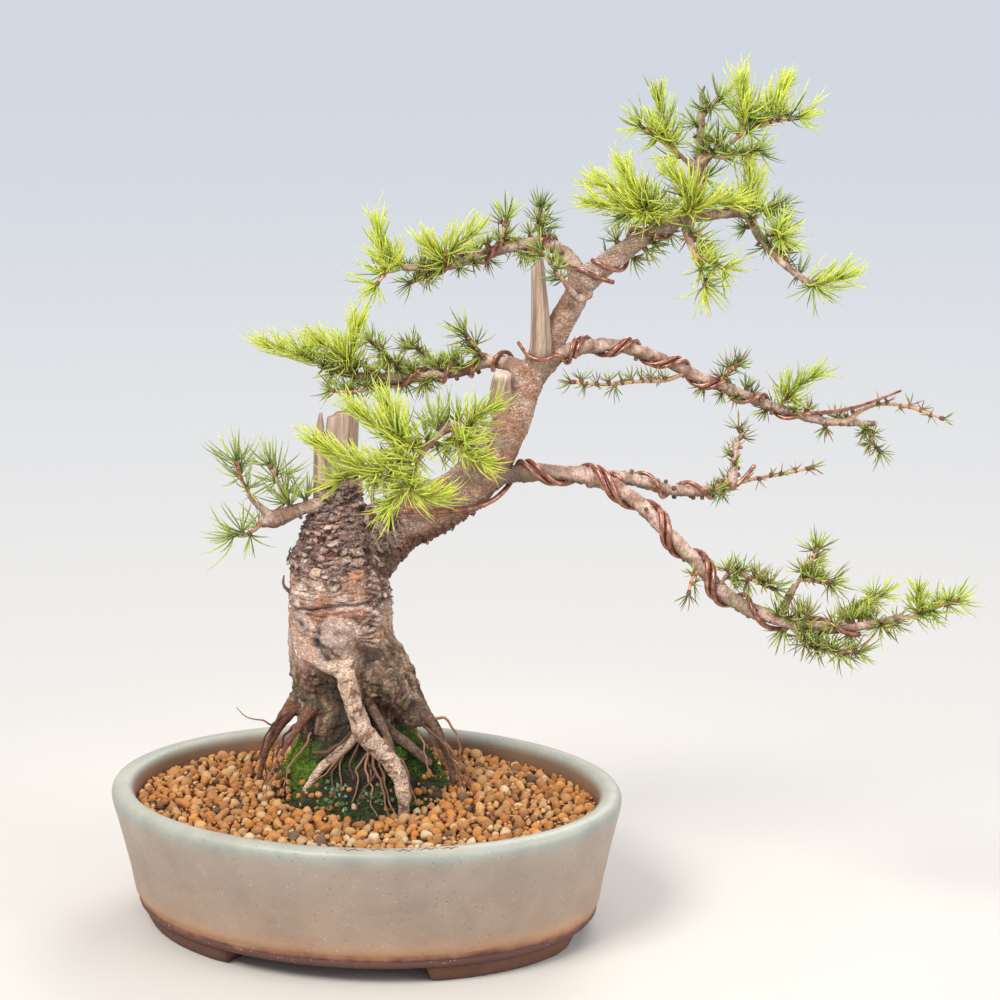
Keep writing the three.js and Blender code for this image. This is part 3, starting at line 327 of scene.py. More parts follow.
def bark():
    """Flaking plates, level wrinkles or fibres over the tint, as the mesh's zone says (red, green, blue)."""
    shader = Shader("bark", 0.86)
    zone = shader.node("ShaderNodeSeparateColor")
    shader.link(shader.node("ShaderNodeAttribute", attribute_name="zone").outputs["Color"], zone.inputs[0])
    flaky, wrinkled, fibrous = (zone.outputs[name] for name in ("Red", "Green", "Blue"))
    wander = shader.node("ShaderNodeTexNoise")
    wander.inputs["Scale"].default_value = 260
    wander.inputs["Detail"].default_value = 4
    shader.link(shader.coords, wander.inputs["Vector"])
    moved = shader.node("ShaderNodeVectorMath", operation="MULTIPLY_ADD")
    shader.link(wander.outputs["Color"], moved.inputs[0])
    moved.inputs[1].default_value = (0.005, 0.005, 0.005)
    shader.link(shader.coords, moved.inputs[2])
    laid = shader.node("ShaderNodeMapping")
    laid.inputs["Scale"].default_value = (1, 1, 1.7)
    shader.link(moved.outputs[0], laid.inputs["Vector"])
    laid = laid.outputs["Vector"]
    edge = shader.cells(5.2, "DISTANCE_TO_EDGE", laid).outputs["Distance"]
    own = shader.cells(5.2, "F1", laid).outputs["Color"]
    small_edge = shader.cells(2.3, "DISTANCE_TO_EDGE", laid).outputs["Distance"]
    small_own = shader.cells(2.3, "F1", laid).outputs["Color"]
    crack = shader.ramp(edge, [(0.0, 1.0), (0.09, 0.0)])
    small_crack = shader.ramp(small_edge, [(0.0, 1.0), (0.08, 0.0)])
    level = shader.noise(1.5, 5, 0.6, shader.stretched((0.14, 0.14, 1)))
    fibre = shader.noise(1.7, 5, 0.6, shader.stretched((1, 0.8, 0.2)))
    grit = shader.noise(1.1, 6, 0.7)
    mottle = shader.noise(5.0, 5, 0.6)
    tint = shader.blend("MULTIPLY", shader.tint(), shader.ramp(grit, [(0.3, 0.66), (0.7, 1.26)]))
    tint = shader.blend("MULTIPLY", tint, shader.ramp(mottle, [(0.32, 0.72), (0.66, 1.22)]))
    shade = shader.ramp(own, [(0.2, 0.8), (0.8, 1.18)])
    tint = shader.blend("MULTIPLY", tint, shade, shader.math("MULTIPLY", flaky, 0.8))
    shade = shader.ramp(small_own, [(0.2, 0.75), (0.8, 1.2)])
    tint = shader.blend("MULTIPLY", tint, shade, 0.45)
    dark = srgb(54, 38, 32)
    crack = shader.math("MULTIPLY", crack, shader.math("MULTIPLY", flaky, 0.4))
    tint = shader.blend("MIX", tint, dark, crack)
    fine_crack = shader.math("MULTIPLY", small_crack, shader.math("MULTIPLY_ADD", flaky, 0.2, 0.5))
    tint = shader.blend("MIX", tint, dark, fine_crack)
    # Wrinkles and fibres are darker in their grooves, where the bump sinks: painted shade
    shade = shader.ramp(level, [(0.38, 0.3), (0.46, 1.0), (0.66, 1.2)])
    tint = shader.blend("MULTIPLY", tint, shade, shader.math("MULTIPLY", wrinkled, 0.85))
    shade = shader.ramp(fibre, [(0.36, 0.35), (0.52, 1.0), (0.7, 1.3)])
    tint = shader.blend("MULTIPLY", tint, shade, fibrous)
    shader.colour(tint)
    raised = shader.math("MULTIPLY", shader.ramp(edge, [(0.0, 0.0), (0.14, 1.0)]), own)
    height = shader.math("MULTIPLY", raised, flaky)
    for part, weight in ((shader.ramp(small_edge, [(0.0, 0.0), (0.15, 1.0)]), 0.35), (grit, 0.3)):
        height = shader.math("ADD", height, shader.math("MULTIPLY", part, weight))
    for part, weight, where in ((level, 0.9, wrinkled), (fibre, 1.3, fibrous)):
        part = shader.math("MULTIPLY", shader.math("MULTIPLY", part, weight), where)
        height = shader.math("ADD", height, part)
    shader.bump(height, 1.1)
    return shader


bark_shader = bark()
branch_shader = grainy("branch_bark", 0.85, 1.5, 0.6, 1.22, 0.55)
dead_shader = Shader("dead_wood", 0.85)
dead_grain = dead_shader.noise(1.0, 5, 0.6, dead_shader.stretched((1, 1, 0.08)))
dead_shader.colour(dead_shader.blend("MULTIPLY", dead_shader.tint(),
                                     dead_shader.ramp(dead_grain, [(0.3, 0.62), (0.62, 1.12)])))
dead_shader.bump(dead_grain, 0.3)
root_shader = grainy("root_bark", 0.8, 1.4, 0.66, 1.2, 0.35)
soil_shader = grainy("root_soil", 0.95, 1.3, 0.4, 1.5, 1.2)
moss_shader = grainy("moss", 0.9, 1.5, 0.75, 1.2, 0.1)
clay_shader = grainy("clay_granule", 0.95, 0.8, 0.66, 1.2, 0.5)
needle_shader = grainy("needle", 0.5, 3.0, 0.88, 1.1, 0.02)
needle_shader.bsdf.inputs["Specular IOR Level"].default_value = 0.35
# Light comes through the needles a little
glow = needle_shader.node("ShaderNodeBsdfTranslucent")
needle_shader.link(needle_shader.bsdf.inputs["Base Color"].links[0].from_socket, glow.inputs["Color"])
shared = needle_shader.node("ShaderNodeMixShader")
shared.inputs["Fac"].default_value = 0.55
needle_shader.link(needle_shader.bsdf.outputs["BSDF"], shared.inputs[1])
needle_shader.link(glow.outputs["BSDF"], shared.inputs[2])
needle_shader.link(shared.outputs["Shader"], needle_shader.tree.nodes["Material Output"].inputs["Surface"])
twig_shader = grainy("twig_bark", 0.75, 1.2, 0.7, 1.2, 0.2)


# Curves through a run of points, the same ones that the solids follow
def sample_run(run, per_span):
    run = np.asarray(run, float)
    p, r = run[:, :3], run[:, 3]
    n = len(run)
    u = np.arange((n - 1) * per_span + 1) / per_span
    i = np.minimum(n - 2, np.floor(u).astype(int))
    w = (u - i)[:, None]
    ext = np.vstack([2 * p[0] - p[1], p, 2 * p[-1] - p[-2]])
    p0, p1, p2, p3 = ext[i], ext[i + 1], ext[i + 2], ext[i + 3]

    def span(a, b):
        return np.maximum(np.sqrt(np.linalg.norm(b - a, axis=1)), 1e-3)[:, None]

    d0, d1, d2 = span(p0, p1), span(p1, p2), span(p2, p3)
    t1 = ((p1 - p0) / d0 - (p2 - p0) / (d0 + d1) + (p2 - p1) / d1) * d1
    t2 = ((p2 - p1) / d1 - (p3 - p1) / (d1 + d2) + (p3 - p2) / d2) * d1
    at = p1 + t1 * w + (-3 * p1 + 3 * p2 - 2 * t1 - t2) * w ** 2 + (2 * p1 - 2 * p2 + t1 + t2) * w ** 3
    radius = r[i] * (1 - w[:, 0]) + r[i + 1] * w[:, 0]
    ahead = np.gradient(at, axis=0)
    ahead /= np.maximum(np.linalg.norm(ahead, axis=1), 1e-9)[:, None]
    side = np.array([1.0, 0, 0]) if abs(ahead[0, 2]) > 0.8 else np.array([0, 0, 1.0])
    sides = []
    for a in ahead:
        side = side - a * (side @ a)
        side = side / np.linalg.norm(side)
        sides.append(side)
    sides = np.array(sides)
    along = np.concatenate([[0], np.cumsum(np.linalg.norm(np.diff(at, axis=0), axis=1))])
    return {"at": at, "ahead": ahead, "side": sides, "across": np.cross(ahead, sides),
            "radius": radius, "along": along}


def resampled(samples, step):
    """The same run with its samples a fixed step apart."""
    along = samples["along"]
    count = max(2, int(math.ceil(along[-1] / step)) + 1)
    new = np.linspace(0, along[-1], count)
    out = {"along": new}
    for key in ("at", "ahead", "side", "across"):
        out[key] = np.stack([np.interp(new, along, samples[key][:, k]) for k in range(3)], axis=1)
    for key in ("ahead", "side", "across"):
        out[key] /= np.linalg.norm(out[key], axis=1)[:, None]
    out["radius"] = np.interp(new, along, samples["radius"])
    return out


def tube(samples, sides, radii=None, start_cap=0.3, end_cap=0.45):
    """Rings round a run, closed by a shallow point at each end."""
    n = len(samples["at"])
    angle = turns_of(sides)
    radii = samples["radius"][:, None] * np.ones(sides) if radii is None else radii
    out = (samples["side"][:, None, :] * np.cos(angle)[None, :, None]
           + samples["across"][:, None, :] * np.sin(angle)[None, :, None])
    rings = samples["at"][:, None, :] + out * radii[:, :, None]
    first = samples["at"][0] - samples["ahead"][0] * start_cap * samples["radius"][0]
    last = samples["at"][-1] + samples["ahead"][-1] * end_cap * samples["radius"][-1]
    points = np.vstack([rings.reshape(-1, 3), first, last])
    tris = np.vstack([fan(n * sides, 0, sides, -1), fan(n * sides + 1, (n - 1) * sides, sides)])
    return points, tris, ring_quads(n, sides)


def way_out(samples, index, turn):
    """The way out of a run at one sample, turned round it by an angle."""
    return samples["side"][index] * math.cos(turn) + samples["across"][index] * math.sin(turn)


def sample_at(samples, share):
    """The number of the sample at a share of the run."""
    last = len(samples["at"]) - 1
    return min(last, int(share * last))


# The wood's runs of [x, y, z, radius]
LIMBS = {
    "bole": [[-9, 22, 52, 22], [-9, 22, 99, 28.5], [-9, 21, 122, 31], [-12, 20, 145, 31.5],
             [-15, 18, 168, 30.5], [-15, 16, 193, 29.5], [-14, 15, 213, 28], [-14, 14, 228, 21],
             [-14, 14, 243, 16.5], [-14, 13, 264, 12], [-13, 13, 281, 10.5], [-12, 13, 297, 9]],
    "trunk": [[-14, 15, 196, 17], [1, 14, 218, 21], [19, 12, 233, 17.5], [39, 10, 241, 15.5],
              [55, 8, 250, 14], [68, 7, 263, 13.5], [77, 6, 278, 12], [85, 6, 294, 10.5],
              [90, 6, 308, 10], [96, 6, 321, 9]],
    "crown": [[91, 6, 310, 9], [105, 5, 336, 8], [120, 3, 363, 7], [125, 2, 372, 7.4],
              [134, 1, 379, 6.2], [157, -1, 396, 5.2], [182, -2, 409, 3.8]],
    "leader": [[178, -2, 407, 3.6], [186, -1, 419, 3.4], [188, 0, 440, 2.8], [188, 2, 462, 2.2],
               [189, 3, 474, 1.2]],
    "deadwoodMiddle": [[98, 4, 320, 6], [101, -3, 334, 6], [101, -5, 350, 5.4], [100, -6, 368, 4.2],
                       [99, -6, 384, 2.4]],
    "deadwoodLow": [[80, 4, 298, 7], [79, -4, 313, 5.8], [80, -7, 323, 4.2]],
    "burl": [[-14, 6, 170, 9], [-15, -9, 173, 11.5], [-16, -15, 174, 7]],
    "knot": [[-30, 4, 177, 4], [-36, -3, 177, 4]],
    "swelling": [[-28, 6, 150, 7], [-34, -4, 151, 6]],
    "rootFront": [[-11, -4, 168, 8], [-8, -10, 154, 7.4], [-3, -11, 136, 6.4], [1, -12, 120, 6.4],
                  [8, -11, 106, 5.6], [15, -14, 95, 5], [20, -20, 83, 4.4], [23, -28, 70, 3.2],
                  [24, -31, 64, 2]],
    "rootFork": [[-1, -12, 116, 3.4], [-11, -12, 106, 3], [-24, -14, 95, 2.8], [-34, -16, 81, 2.2]],
    "rootMiddle": [[4, -6, 130, 4], [12, -8, 116, 3], [16, -8, 103, 2.8], [18, -16, 88, 2.2]],
    "rootRight": [[6, 12, 142, 14], [16, 9, 130, 11], [27, 8, 122, 7], [37, 8, 117, 5], [44, 9, 105, 3.6],
                  [49, 10, 91, 3], [51, 10, 76, 2]],
    "rootRightLow": [[14, 2, 112, 5], [26, 2, 103, 4], [38, 2, 92, 3]],
    "rootLeft": [[-30, 16, 138, 12], [-42, 13, 124, 7], [-52, 11, 110, 4.4], [-59, 10, 96, 3],
                 [-63, 10, 80, 2.2]],
    "rootLeftFront": [[-27, 2, 130, 7], [-38, -4, 116, 4], [-48, -7, 100, 2.4]],
    "rootBack": [[-4, 42, 140, 11], [4, 56, 118, 7], [12, 66, 96, 4], [18, 72, 76, 2.4]],
    "rootBackLeft": [[-20, 40, 136, 10], [-34, 52, 112, 6], [-42, 60, 90, 3]],
    "low": [[66, 8, 256, 7], [80, 5, 262, 5], [104, 0, 265, 4.2], [130, -5, 263, 4.4], [153, -11, 252, 4],
            [172, -17, 234, 4], [188, -22, 218, 4], [204, -28, 201, 4.2], [220, -35, 193, 4],
            [251, -46, 187, 3.2], [276, -54, 190, 2.4], [296, -61, 197, 1.8]],
    "lowFork": [[128, -5, 263, 4], [151, 2, 261, 3.6], [176, 10, 253, 3.2], [203, 17, 252, 3],
                [213, 20, 254, 2.6]],
    "forkStub": [[212, 20, 253, 2.4], [213, 22, 268, 2.2], [215, 22, 281, 1.6]],
    "lowSpur": [[232, -39, 189, 2.4], [238, -38, 203, 2], [241, -38, 209, 1.6]],
    "middleRight": [[99, 5, 322, 6], [113, 2, 332, 4.2], [137, 7, 336, 3.8], [163, 13, 330, 3.4],
                    [190, 20, 317, 3.2], [213, 26, 307, 3.1], [238, 32, 297, 2.8], [267, 38, 288, 2.2],
                    [297, 43, 286, 1.6]],
    "middleRightTip": [[266, 38, 288, 1.8], [279, 39, 288, 1.6], [288, 37, 295, 1.4]],
    "middleLeft": [[96, 8, 318, 6], [86, 19, 323, 4.4], [74, 26, 325, 3.8], [57, 31, 319, 3.4],
                   [37, 33, 315, 3], [2, 35, 314, 2.5], [-26, 36, 321, 1.7]],
    "upperLeft": [[124, 4, 369, 5.5], [117, 14, 384, 4], [104, 18, 392, 3.6], [77, 20, 388, 3],
                  [52, 20, 380, 2.5], [24, 20, 378, 1.8]],
    "upperFront": [[126, 0, 366, 3], [121, -14, 364, 2], [114, -19, 373, 1.6]],
    "crownRight": [[178, -2, 408, 3.4], [196, -1, 409, 3], [213, 1, 409, 2.6], [221, -5, 397, 2.2],
                   [233, -12, 383, 1.9], [246, -18, 373, 1.6]],
    "middleDroop": [[181, -4, 406, 3], [181, -12, 398, 2.1], [183, -16, 391, 1.7]],
    "apexLeft": [[187, 0, 430, 2.4], [181, -2, 438, 1.7]],
    "apexRight": [[188, 0, 436, 2.4], [194, -2, 442, 1.9], [201, -3, 445, 1.6]],
    "front": [[70, 2, 274, 5], [62, -14, 290, 3.4], [51, -28, 295, 2.7], [41, -37, 289, 2.1],
              [34, -43, 280, 1.7]],
    "left": [[-16, 10, 246, 4], [-31, 4, 244, 3.2], [-48, -3, 239, 2.9], [-56, -6, 238, 2.4]],
    "leftTwig": [[-50, -4, 240, 2.2], [-58, -6, 248, 1.8], [-63, -6, 254, 1.5]],
}
STEM = ("bole", "trunk", "crown", "burl", "knot", "swelling", "rootFront", "rootFork", "rootMiddle",
        "rootRight", "rootRightLow", "rootLeft", "rootLeftFront", "rootBack", "rootBackLeft")
DEAD = ("deadwoodMiddle", "deadwoodLow")
fine = {name: resampled(sample_run(run, 24), 1.0) for name, run in LIMBS.items()}


def remeshed(points, tris, quads, voxel):
    """One skin round a heap of closed bodies that run into each other."""
    mesh = raw_mesh("heap", points, tris, quads)
    obj = bpy.data.objects.new("heap", mesh)
    bpy.context.scene.collection.objects.link(obj)
    modifier = obj.modifiers.new("voxels", "REMESH")
    modifier.mode = "VOXEL"
    modifier.voxel_size = voxel
    graph = bpy.context.evaluated_depsgraph_get()
    skin = bpy.data.meshes.new_from_object(obj.evaluated_get(graph))
    co = np.empty(len(skin.vertices) * 3, np.float32)
    skin.vertices.foreach_get("co", co)
    corners = np.empty(len(skin.loops), np.int32)
    skin.loops.foreach_get("vertex_index", corners)
    bpy.data.objects.remove(obj)
    for m in (mesh, skin):
        bpy.data.meshes.remove(m)
    return co.reshape(-1, 3).astype(float), corners.reshape(-1, 4)


def smoothed(co, quads, rounds):
    edges = np.vstack([quads[:, [0, 1]], quads[:, [1, 2]], quads[:, [2, 3]], quads[:, [3, 0]]])
    count = np.bincount(edges.ravel(), minlength=len(co))[:, None]
    for _ in range(rounds):
        total = np.stack([
            np.bincount(edges[:, 0], co[edges[:, 1], k], len(co))
            + np.bincount(edges[:, 1], co[edges[:, 0], k], len(co)) for k in range(3)], axis=1)
        co = co * 0.4 + total / count * 0.6
    return co


def normals_of(co, quads):
    face = np.cross(co[quads[:, 2]] - co[quads[:, 0]], co[quads[:, 3]] - co[quads[:, 1]])
    out = np.zeros_like(co)
    for k in range(4):
        for axis in range(3):
            out[:, axis] += np.bincount(quads[:, k], face[:, axis], len(co))
    return out / np.maximum(np.linalg.norm(out, axis=1), 1e-12)[:, None]


BATCH = 4000


def nearest_samples(points, names):
    """For each point, the sample whose surface is nearest: limb, distance along, way out, radius and way."""
    at = np.vstack([fine[n]["at"] for n in names])
    radius = np.concatenate([fine[n]["radius"] for n in names])
    ahead = np.vstack([fine[n]["ahead"] for n in names])
    along = np.concatenate([fine[n]["along"] for n in names])
    limb = np.concatenate([np.full(len(fine[n]["at"]), k) for k, n in enumerate(names)])
    best = np.empty(len(points), int)
    for start in range(0, len(points), BATCH):
        part = points[start:start + BATCH]
        gap = np.sqrt(np.maximum(
            (part ** 2).sum(1)[:, None] - 2 * part @ at.T + (at ** 2).sum(1)[None], 0)) - radius[None]
        best[start:start + BATCH] = gap.argmin(1)
    out = points - at[best]
    beyond = (out * ahead[best]).sum(1)
    out = out - ahead[best] * beyond[:, None]
    return limb[best], along[best] + beyond, out, radius[best], ahead[best]


# The stem: bole, trunk, burl and roots as one skin, with flaking bark raised on it.
# These lumps and folds shape it beyond the limbs: runs of [x, y, z, radius].
LUMPS = [
    [[-14, 2, 172, 9], [-13.2, -7, 172.5, 10.2], [-12.8, -10.6, 172.3, 8.8]],
    [[-10.5, -10, 166, 6], [-8.4, -13, 161, 4.2], [-8.6, -14, 156, 5]],
    [[-2, 2, 170, 8], [3, -7, 172, 6.5], [8, -6, 167, 5]],
    [[-26, 2, 166, 8], [-27, -7, 162, 7.4], [-21, -12, 156, 6.2], [-14, -14, 155, 4.6]],
    [[-28, 2, 179, 5], [-32, -8, 179, 5]],
    [[-8, 4, 203, 8], [-4, -8, 186, 5], [10, -9, 183, 4]],
    [[8, 12, 164, 9], [14, 12, 152, 11], [19, 11, 140, 11], [25, 10, 128, 9.5], [33, 9, 118, 7]],
    [[4, -4, 150, 8], [14, -3, 142, 8.5], [22, 1, 130, 8], [30, 3, 118, 6]],
    [[-18, 13, 212, 20], [-15, 14, 232, 18], [-13.5, 14, 247, 14.6], [-13, 14, 256, 12]],
]
# Hollows pressed into the bole: middle, reach and depth
HOLLOWS = [
    ([3, -9, 158], [6, 11, 9], 6.0), ([-22, -9, 136], [10, 11, 12], 7.0), ([-4, -10, 126], [8, 12, 14], 7.0),
    ([12, -7, 124], [9, 11, 10], 6.0), ([-25, -12, 169], [2.6, 8, 4.5], 0.7),
    ([-19, -11, 160.5], [4, 8, 2.2], 1.4),
]
# Roots that the photo shows slimmer than the limbs' runs
SLIM_ROOTS = {"rootLeft": 0.72, "rootLeftFront": 0.6, "rootRight": 0.8, "rootRightLow": 0.8,
              "rootMiddle": 0.85}
ROOT_FRONT = [[-9.5, -11, 159, 4.6], [-9.2, -14.5, 153, 5.8], [-8, -15, 145, 5.8], [-5.5, -15, 136, 5.5],
              [-3, -15, 127, 5.6], [0.5, -15, 117, 6], [8, -16, 108.5, 6], [15.5, -18, 101, 5.2],
              [21, -21, 93, 4.8], [23.5, -25, 83, 4], [24, -29, 73, 3.4], [24, -31, 64, 3]]
fine["rootFront"] = resampled(sample_run(ROOT_FRONT, 24), 1.0)
for name, share in SLIM_ROOTS.items():
    fine[name]["radius"] = fine[name]["radius"] * share


def hollowed(points):
    for middle, reach, depth in HOLLOWS:
        near = np.exp(-(((points - np.array(middle)) / np.array(reach)) ** 2).sum(1))
        inward = unit(np.column_stack([-9 - points[:, 0], 21 - points[:, 1], np.zeros(len(points))]))
        points = points + inward * (depth * near)[:, None]
    return points


# The bole's skin starts under the mound and stops inside the dead wood
BOLE_LEVELS = (92, 236)
VOXEL = 0.83
# Below this level the skin is hidden in the soil and stays plain
HIDDEN_LEVEL = 66
heap = Soup()
for name in STEM:
    # The burl is one of the lumps below
    if name == "burl":
        continue
    samples = fine[name]
    if name == "bole":
        start, stop = np.searchsorted(samples["at"][:, 2], BOLE_LEVELS)
        samples = {key: value[start:stop] for key, value in samples.items()}
    sides = max(12, int(2 * math.pi * samples["radius"].max() / 1.6))
    wobble = 1 + 0.045 * np.sin(3 * turns_of(sides)[None] + samples["along"][:, None] / 17)
    points, tris, quads = tube(samples, sides, samples["radius"][:, None] * wobble)
    if name == "bole":
        points = hollowed(points)
    heap.add(points, tris, quads)
for run in LUMPS:
    heap.add(*tube(resampled(sample_run(run, 12), 1.0), 20, start_cap=0.9, end_cap=0.9))
stem_co, stem_quads = remeshed(*heap.arrays()[:3], VOXEL)
above = stem_co[:, 2] > HIDDEN_LEVEL
stem_co = smoothed(stem_co, stem_quads, 3)
# Each point's place on its limb
limb, along, out, radius, ahead = nearest_samples(stem_co, STEM)
normal = normals_of(stem_co, stem_quads)
x, y, z = stem_co.T
limb_is = {name: limb == k for k, name in enumerate(STEM)}
slim_root = np.isin(limb, [k for k, n in enumerate(STEM) if n.startswith("root")]) & (radius < 8.5)
slim_root &= (radius < 5.5) | (limb == STEM.index("rootFront"))
# Noises that run with the limbs
unrolled = out + ahead * along[:, None]
warp = np.stack([fractal_at(unrolled, 8.0, o) for o in (21.0, 37.0, 53.0)], axis=1)
# Plates of bark, large and small: nearness to the edge, own number, way from the middle
edge, cell, way = cells_at(out * 0.55 + ahead * (1.35 * along)[:, None] + 1.8 * warp, 6.0, 3.1)
edge_small, cell_small, way_small = cells_at(
    out * 0.6 + ahead * (1.2 * along)[:, None] + 1.4 * warp, 3.0, 9.7)
level_lines = noise_at(stem_co * np.array([0.13, 0.13, 1]) + 0.4 * warp, 1.5, 6.0)
broad = fractal_at(unrolled, 16.0, 2.0)
grit = noise_at(unrolled, 2.2, 7.0)
fibres = noise_at(out * 0.9 + ahead * (along * 0.3)[:, None] + 0.8 * warp, 2.6, 1.0)


def blob(at_x, at_z, reach_x, reach_z):
    """A soft spot on the stem, seen from the front."""
    return np.exp(-(((x - at_x) / reach_x) ** 2 + ((z - at_z) / reach_z) ** 2))


in_front = smoothstep(0, -6, y)
# The levels where one kind of bark gives way to the next waver round the bole
border = z + 9 * broad + 4 * np.sin(np.arctan2(y - 18, x + 12) * 5)
flaky = smoothstep(198, 214, z) * smoothstep(30, 6, x)
flaky = np.maximum(flaky, 0.75 * smoothstep(-4, 8, x) * smoothstep(166, 190, border) * smoothstep(40, 18, x))
scaly = blob(-23.5, 173, 5, 8) * in_front
flaky = np.maximum(np.maximum(flaky, 0.2), 0.75 * scaly)
flaky = np.maximum(flaky, 0.45 * smoothstep(158, 144, z))
underside = smoothstep(-3, -11, out[:, 2]) * limb_is["trunk"]
flaky = np.where(limb_is["trunk"], np.maximum(flaky * (1 - 0.4 * underside), 0.45 * underside), flaky)
# The burl and the ring above it as x and z, and the knob on the left edge
BURL = (-12.8, 172.5)
KNOB_AT = np.array([-34.5, -10, 179])
RING_AT = (-15.5, 202.6)
burl_turn = np.arctan2(z - BURL[1], x - BURL[0])
burl_far = np.hypot(x - BURL[0], (z - BURL[1]) / 1.08) - 0.9 * np.sin(3 * burl_turn + 0.8)
burl_far = burl_far + 0.9 * noise_at(stem_co, 6.0, 14.0)
burl_zone = smoothstep(12.5, 9.5, burl_far) * in_front
arm_line = np.abs((z - 163.5) + 0.52 * (x + 30)) / 1.13
arm_zone = smoothstep(6, 2.5, arm_line + 1.2 * noise_at(stem_co, 5.0, 8.0)) * in_front
arm_zone = arm_zone * smoothstep(-10, -14, x) * smoothstep(-44, -38, x)
knob_way = stem_co - KNOB_AT
knob_far = np.hypot(knob_way[:, 0], knob_way[:, 2])
knob_zone = smoothstep(8, 5.5, np.linalg.norm(knob_way, axis=1))
bare = np.maximum(np.maximum(0.9 * burl_zone, 0.55 * arm_zone), knob_zone)
# Smooth on the trunk, ribbed on the flank and low down, wrinkled round the bole's neck
smooth_trunk = smoothstep(14, 36, x) * (limb_is["trunk"] | limb_is["crown"]) * (1 - 0.8 * underside)
flank = smoothstep(-4, 8, x) * smoothstep(184, 158, border) * ~slim_root
flank = np.maximum(flank, smoothstep(162, 142, border) * ~slim_root) * (1 - bare)
wrinkled = smoothstep(216, 204, z) * smoothstep(176, 184, z) * smoothstep(8, -6, x) * (1 - bare)

# Relief: plates that lift at one end, with grit, ribs and wrinkles
plates = smoothstep(0.02, 0.2, edge) * (0.3 + 0.7 * cell) - 0.5 * (way * ahead).sum(1)
plates_small = smoothstep(0.02, 0.25, edge_small) * (0.4 + 0.6 * cell_small)
plates_small = plates_small - 0.35 * (way_small * ahead).sum(1)
amp = 2.5 * flaky * (1 - bare) * (1 - 0.8 * smooth_trunk) * (1 - 0.3 * flank) * np.where(slim_root, 0.15, 1)
height = amp * (plates - 0.4) + 0.8 * np.clip(amp, 0.2, 1.3) * (plates_small - 0.5)
height += 0.25 * grit + 0.9 * broad * np.where(slim_root, 0.45, 1)
height += flank * 1.2 * fibres + slim_root * 0.7 * fibres + wrinkled * 0.55 * level_lines
# The burl stands out like a ball with a crease round it, and small knots dot it
height += 3.2 * np.clip(1 - (burl_far / 11.6) ** 2, 0, 1) ** 0.7 * in_front
neck = smoothstep(5, 2, np.abs(x + 8.5)) * smoothstep(168, 163, z)
# The crease is deep on the burl's left and lower left, and faint elsewhere
crease = 0.22 + 0.78 * smoothstep(0.0, 0.7, np.cos(burl_turn + 2.75))
crease = crease * bell(burl_far - 12.0, 1.1) * in_front * (1 - neck)
crease = crease * (0.55 + 0.6 * smoothstep(-0.3, 0.4, noise_at(stem_co, 4.0, 17.0)))
height -= 1.4 * crease
height += 1.8 * arm_zone
arm_foot = smoothstep(-12, -16, x) * in_front * smoothstep(174, 168, z)
height -= 1.3 * bell(arm_line - 7, 1.6) * arm_foot
# A fine fold runs level over the burl and out to both sides
fold_line = z - 188.5 - 2.2 * np.cos((x + 4) / 13) + 1.1 * noise_at(stem_co, 6.0)
fold_front = smoothstep(2, -6, y)
fold = bell(fold_line, 0.9) * fold_front * smoothstep(-0.5, 0.1, noise_at(stem_co, 15.0) + 0.35)
height -= 1.7 * fold
height += 0.9 * bell(fold_line + 2.2, 1.3) * fold_front
# A knob with a hole on the left edge, and a small ring above the burl
height += knob_zone * (1.3 * bell(knob_far - 3.4, 1.0) - 2.2 * bell(knob_far, 2.1))
ring_way = np.hypot(x - RING_AT[0], z - RING_AT[1])
height += in_front * (1.2 * bell(ring_way - 3.0, 0.8) - 1.5 * bell(ring_way, 1.6))
knots = np.zeros(len(x))
for knot_x, knot_z in ((-12.5, 174), (-17, 168.5), (-13, 164), (-22, 169), (-6.5, 171.5), (3, 174)):
    knots = np.maximum(knots, blob(knot_x, knot_z, 1.5, 1.3) * in_front)
height += 1.5 * knots
# Wrinkles fan out from the burl to the right
spokes = np.sin(np.arctan2(z - 172, x + 6) * 24 + 3 * noise_at(stem_co, 7.0))
spoked = smoothstep(-4, 0, x) * smoothstep(20, 13, x) * smoothstep(158, 164, z) * smoothstep(186, 180, z)
spoked = spoked * in_front
height += 0.8 * spoked * spokes
height *= np.clip(radius / 7, 0.3, 1)
stem_co = stem_co + normal * np.where(above, height, 0)[:, None]

# The stem's colours, laid over each other
pink = srgb(214, 188, 172)
tan = srgb(198, 158, 130)
red = srgb(166, 104, 76)
purple = srgb(122, 96, 90)
deep = srgb(46, 33, 27)
base = mix(tan, pink, smoothstep(-0.3, 0.3, broad + 0.3 * cell))
reddish = smoothstep(0.05, 0.45, fractal_at(unrolled, 10.0, 8.0) + 0.12)
base = mix(base, red, 0.58 * reddish * (1 - 0.85 * smooth_trunk))
plate_tint = mix(srgb(164, 132, 120), srgb(206, 180, 166), cell_small)
base = mix(base, plate_tint, 0.85 * smoothstep(0.3, 0.75, flaky) * smoothstep(0.85, 0.35, cell) * (1 - bare))
base = mix(base, purple, 0.3 * smoothstep(204, 222, z) * smoothstep(16, -2, x))
base = mix(base, srgb(150, 104, 80), 0.5 * wrinkled * smoothstep(0.1, 0.6, level_lines))
# The wrinkles' troughs are darker: painted shade
base = mix(base, srgb(84, 60, 48), 0.6 * wrinkled * smoothstep(-0.35, -0.7, level_lines))
# The trunk's underside is darker: painted shade (its flakier bark is set above)
base = mix(base, srgb(118, 86, 66), 0.65 * underside)
base = mix(base, pink, 0.75 * bare)
base = mix(base, srgb(172, 122, 100), 0.5 * bare * smoothstep(0.0, 0.5, fractal_at(stem_co, 5.0, 19.0)))
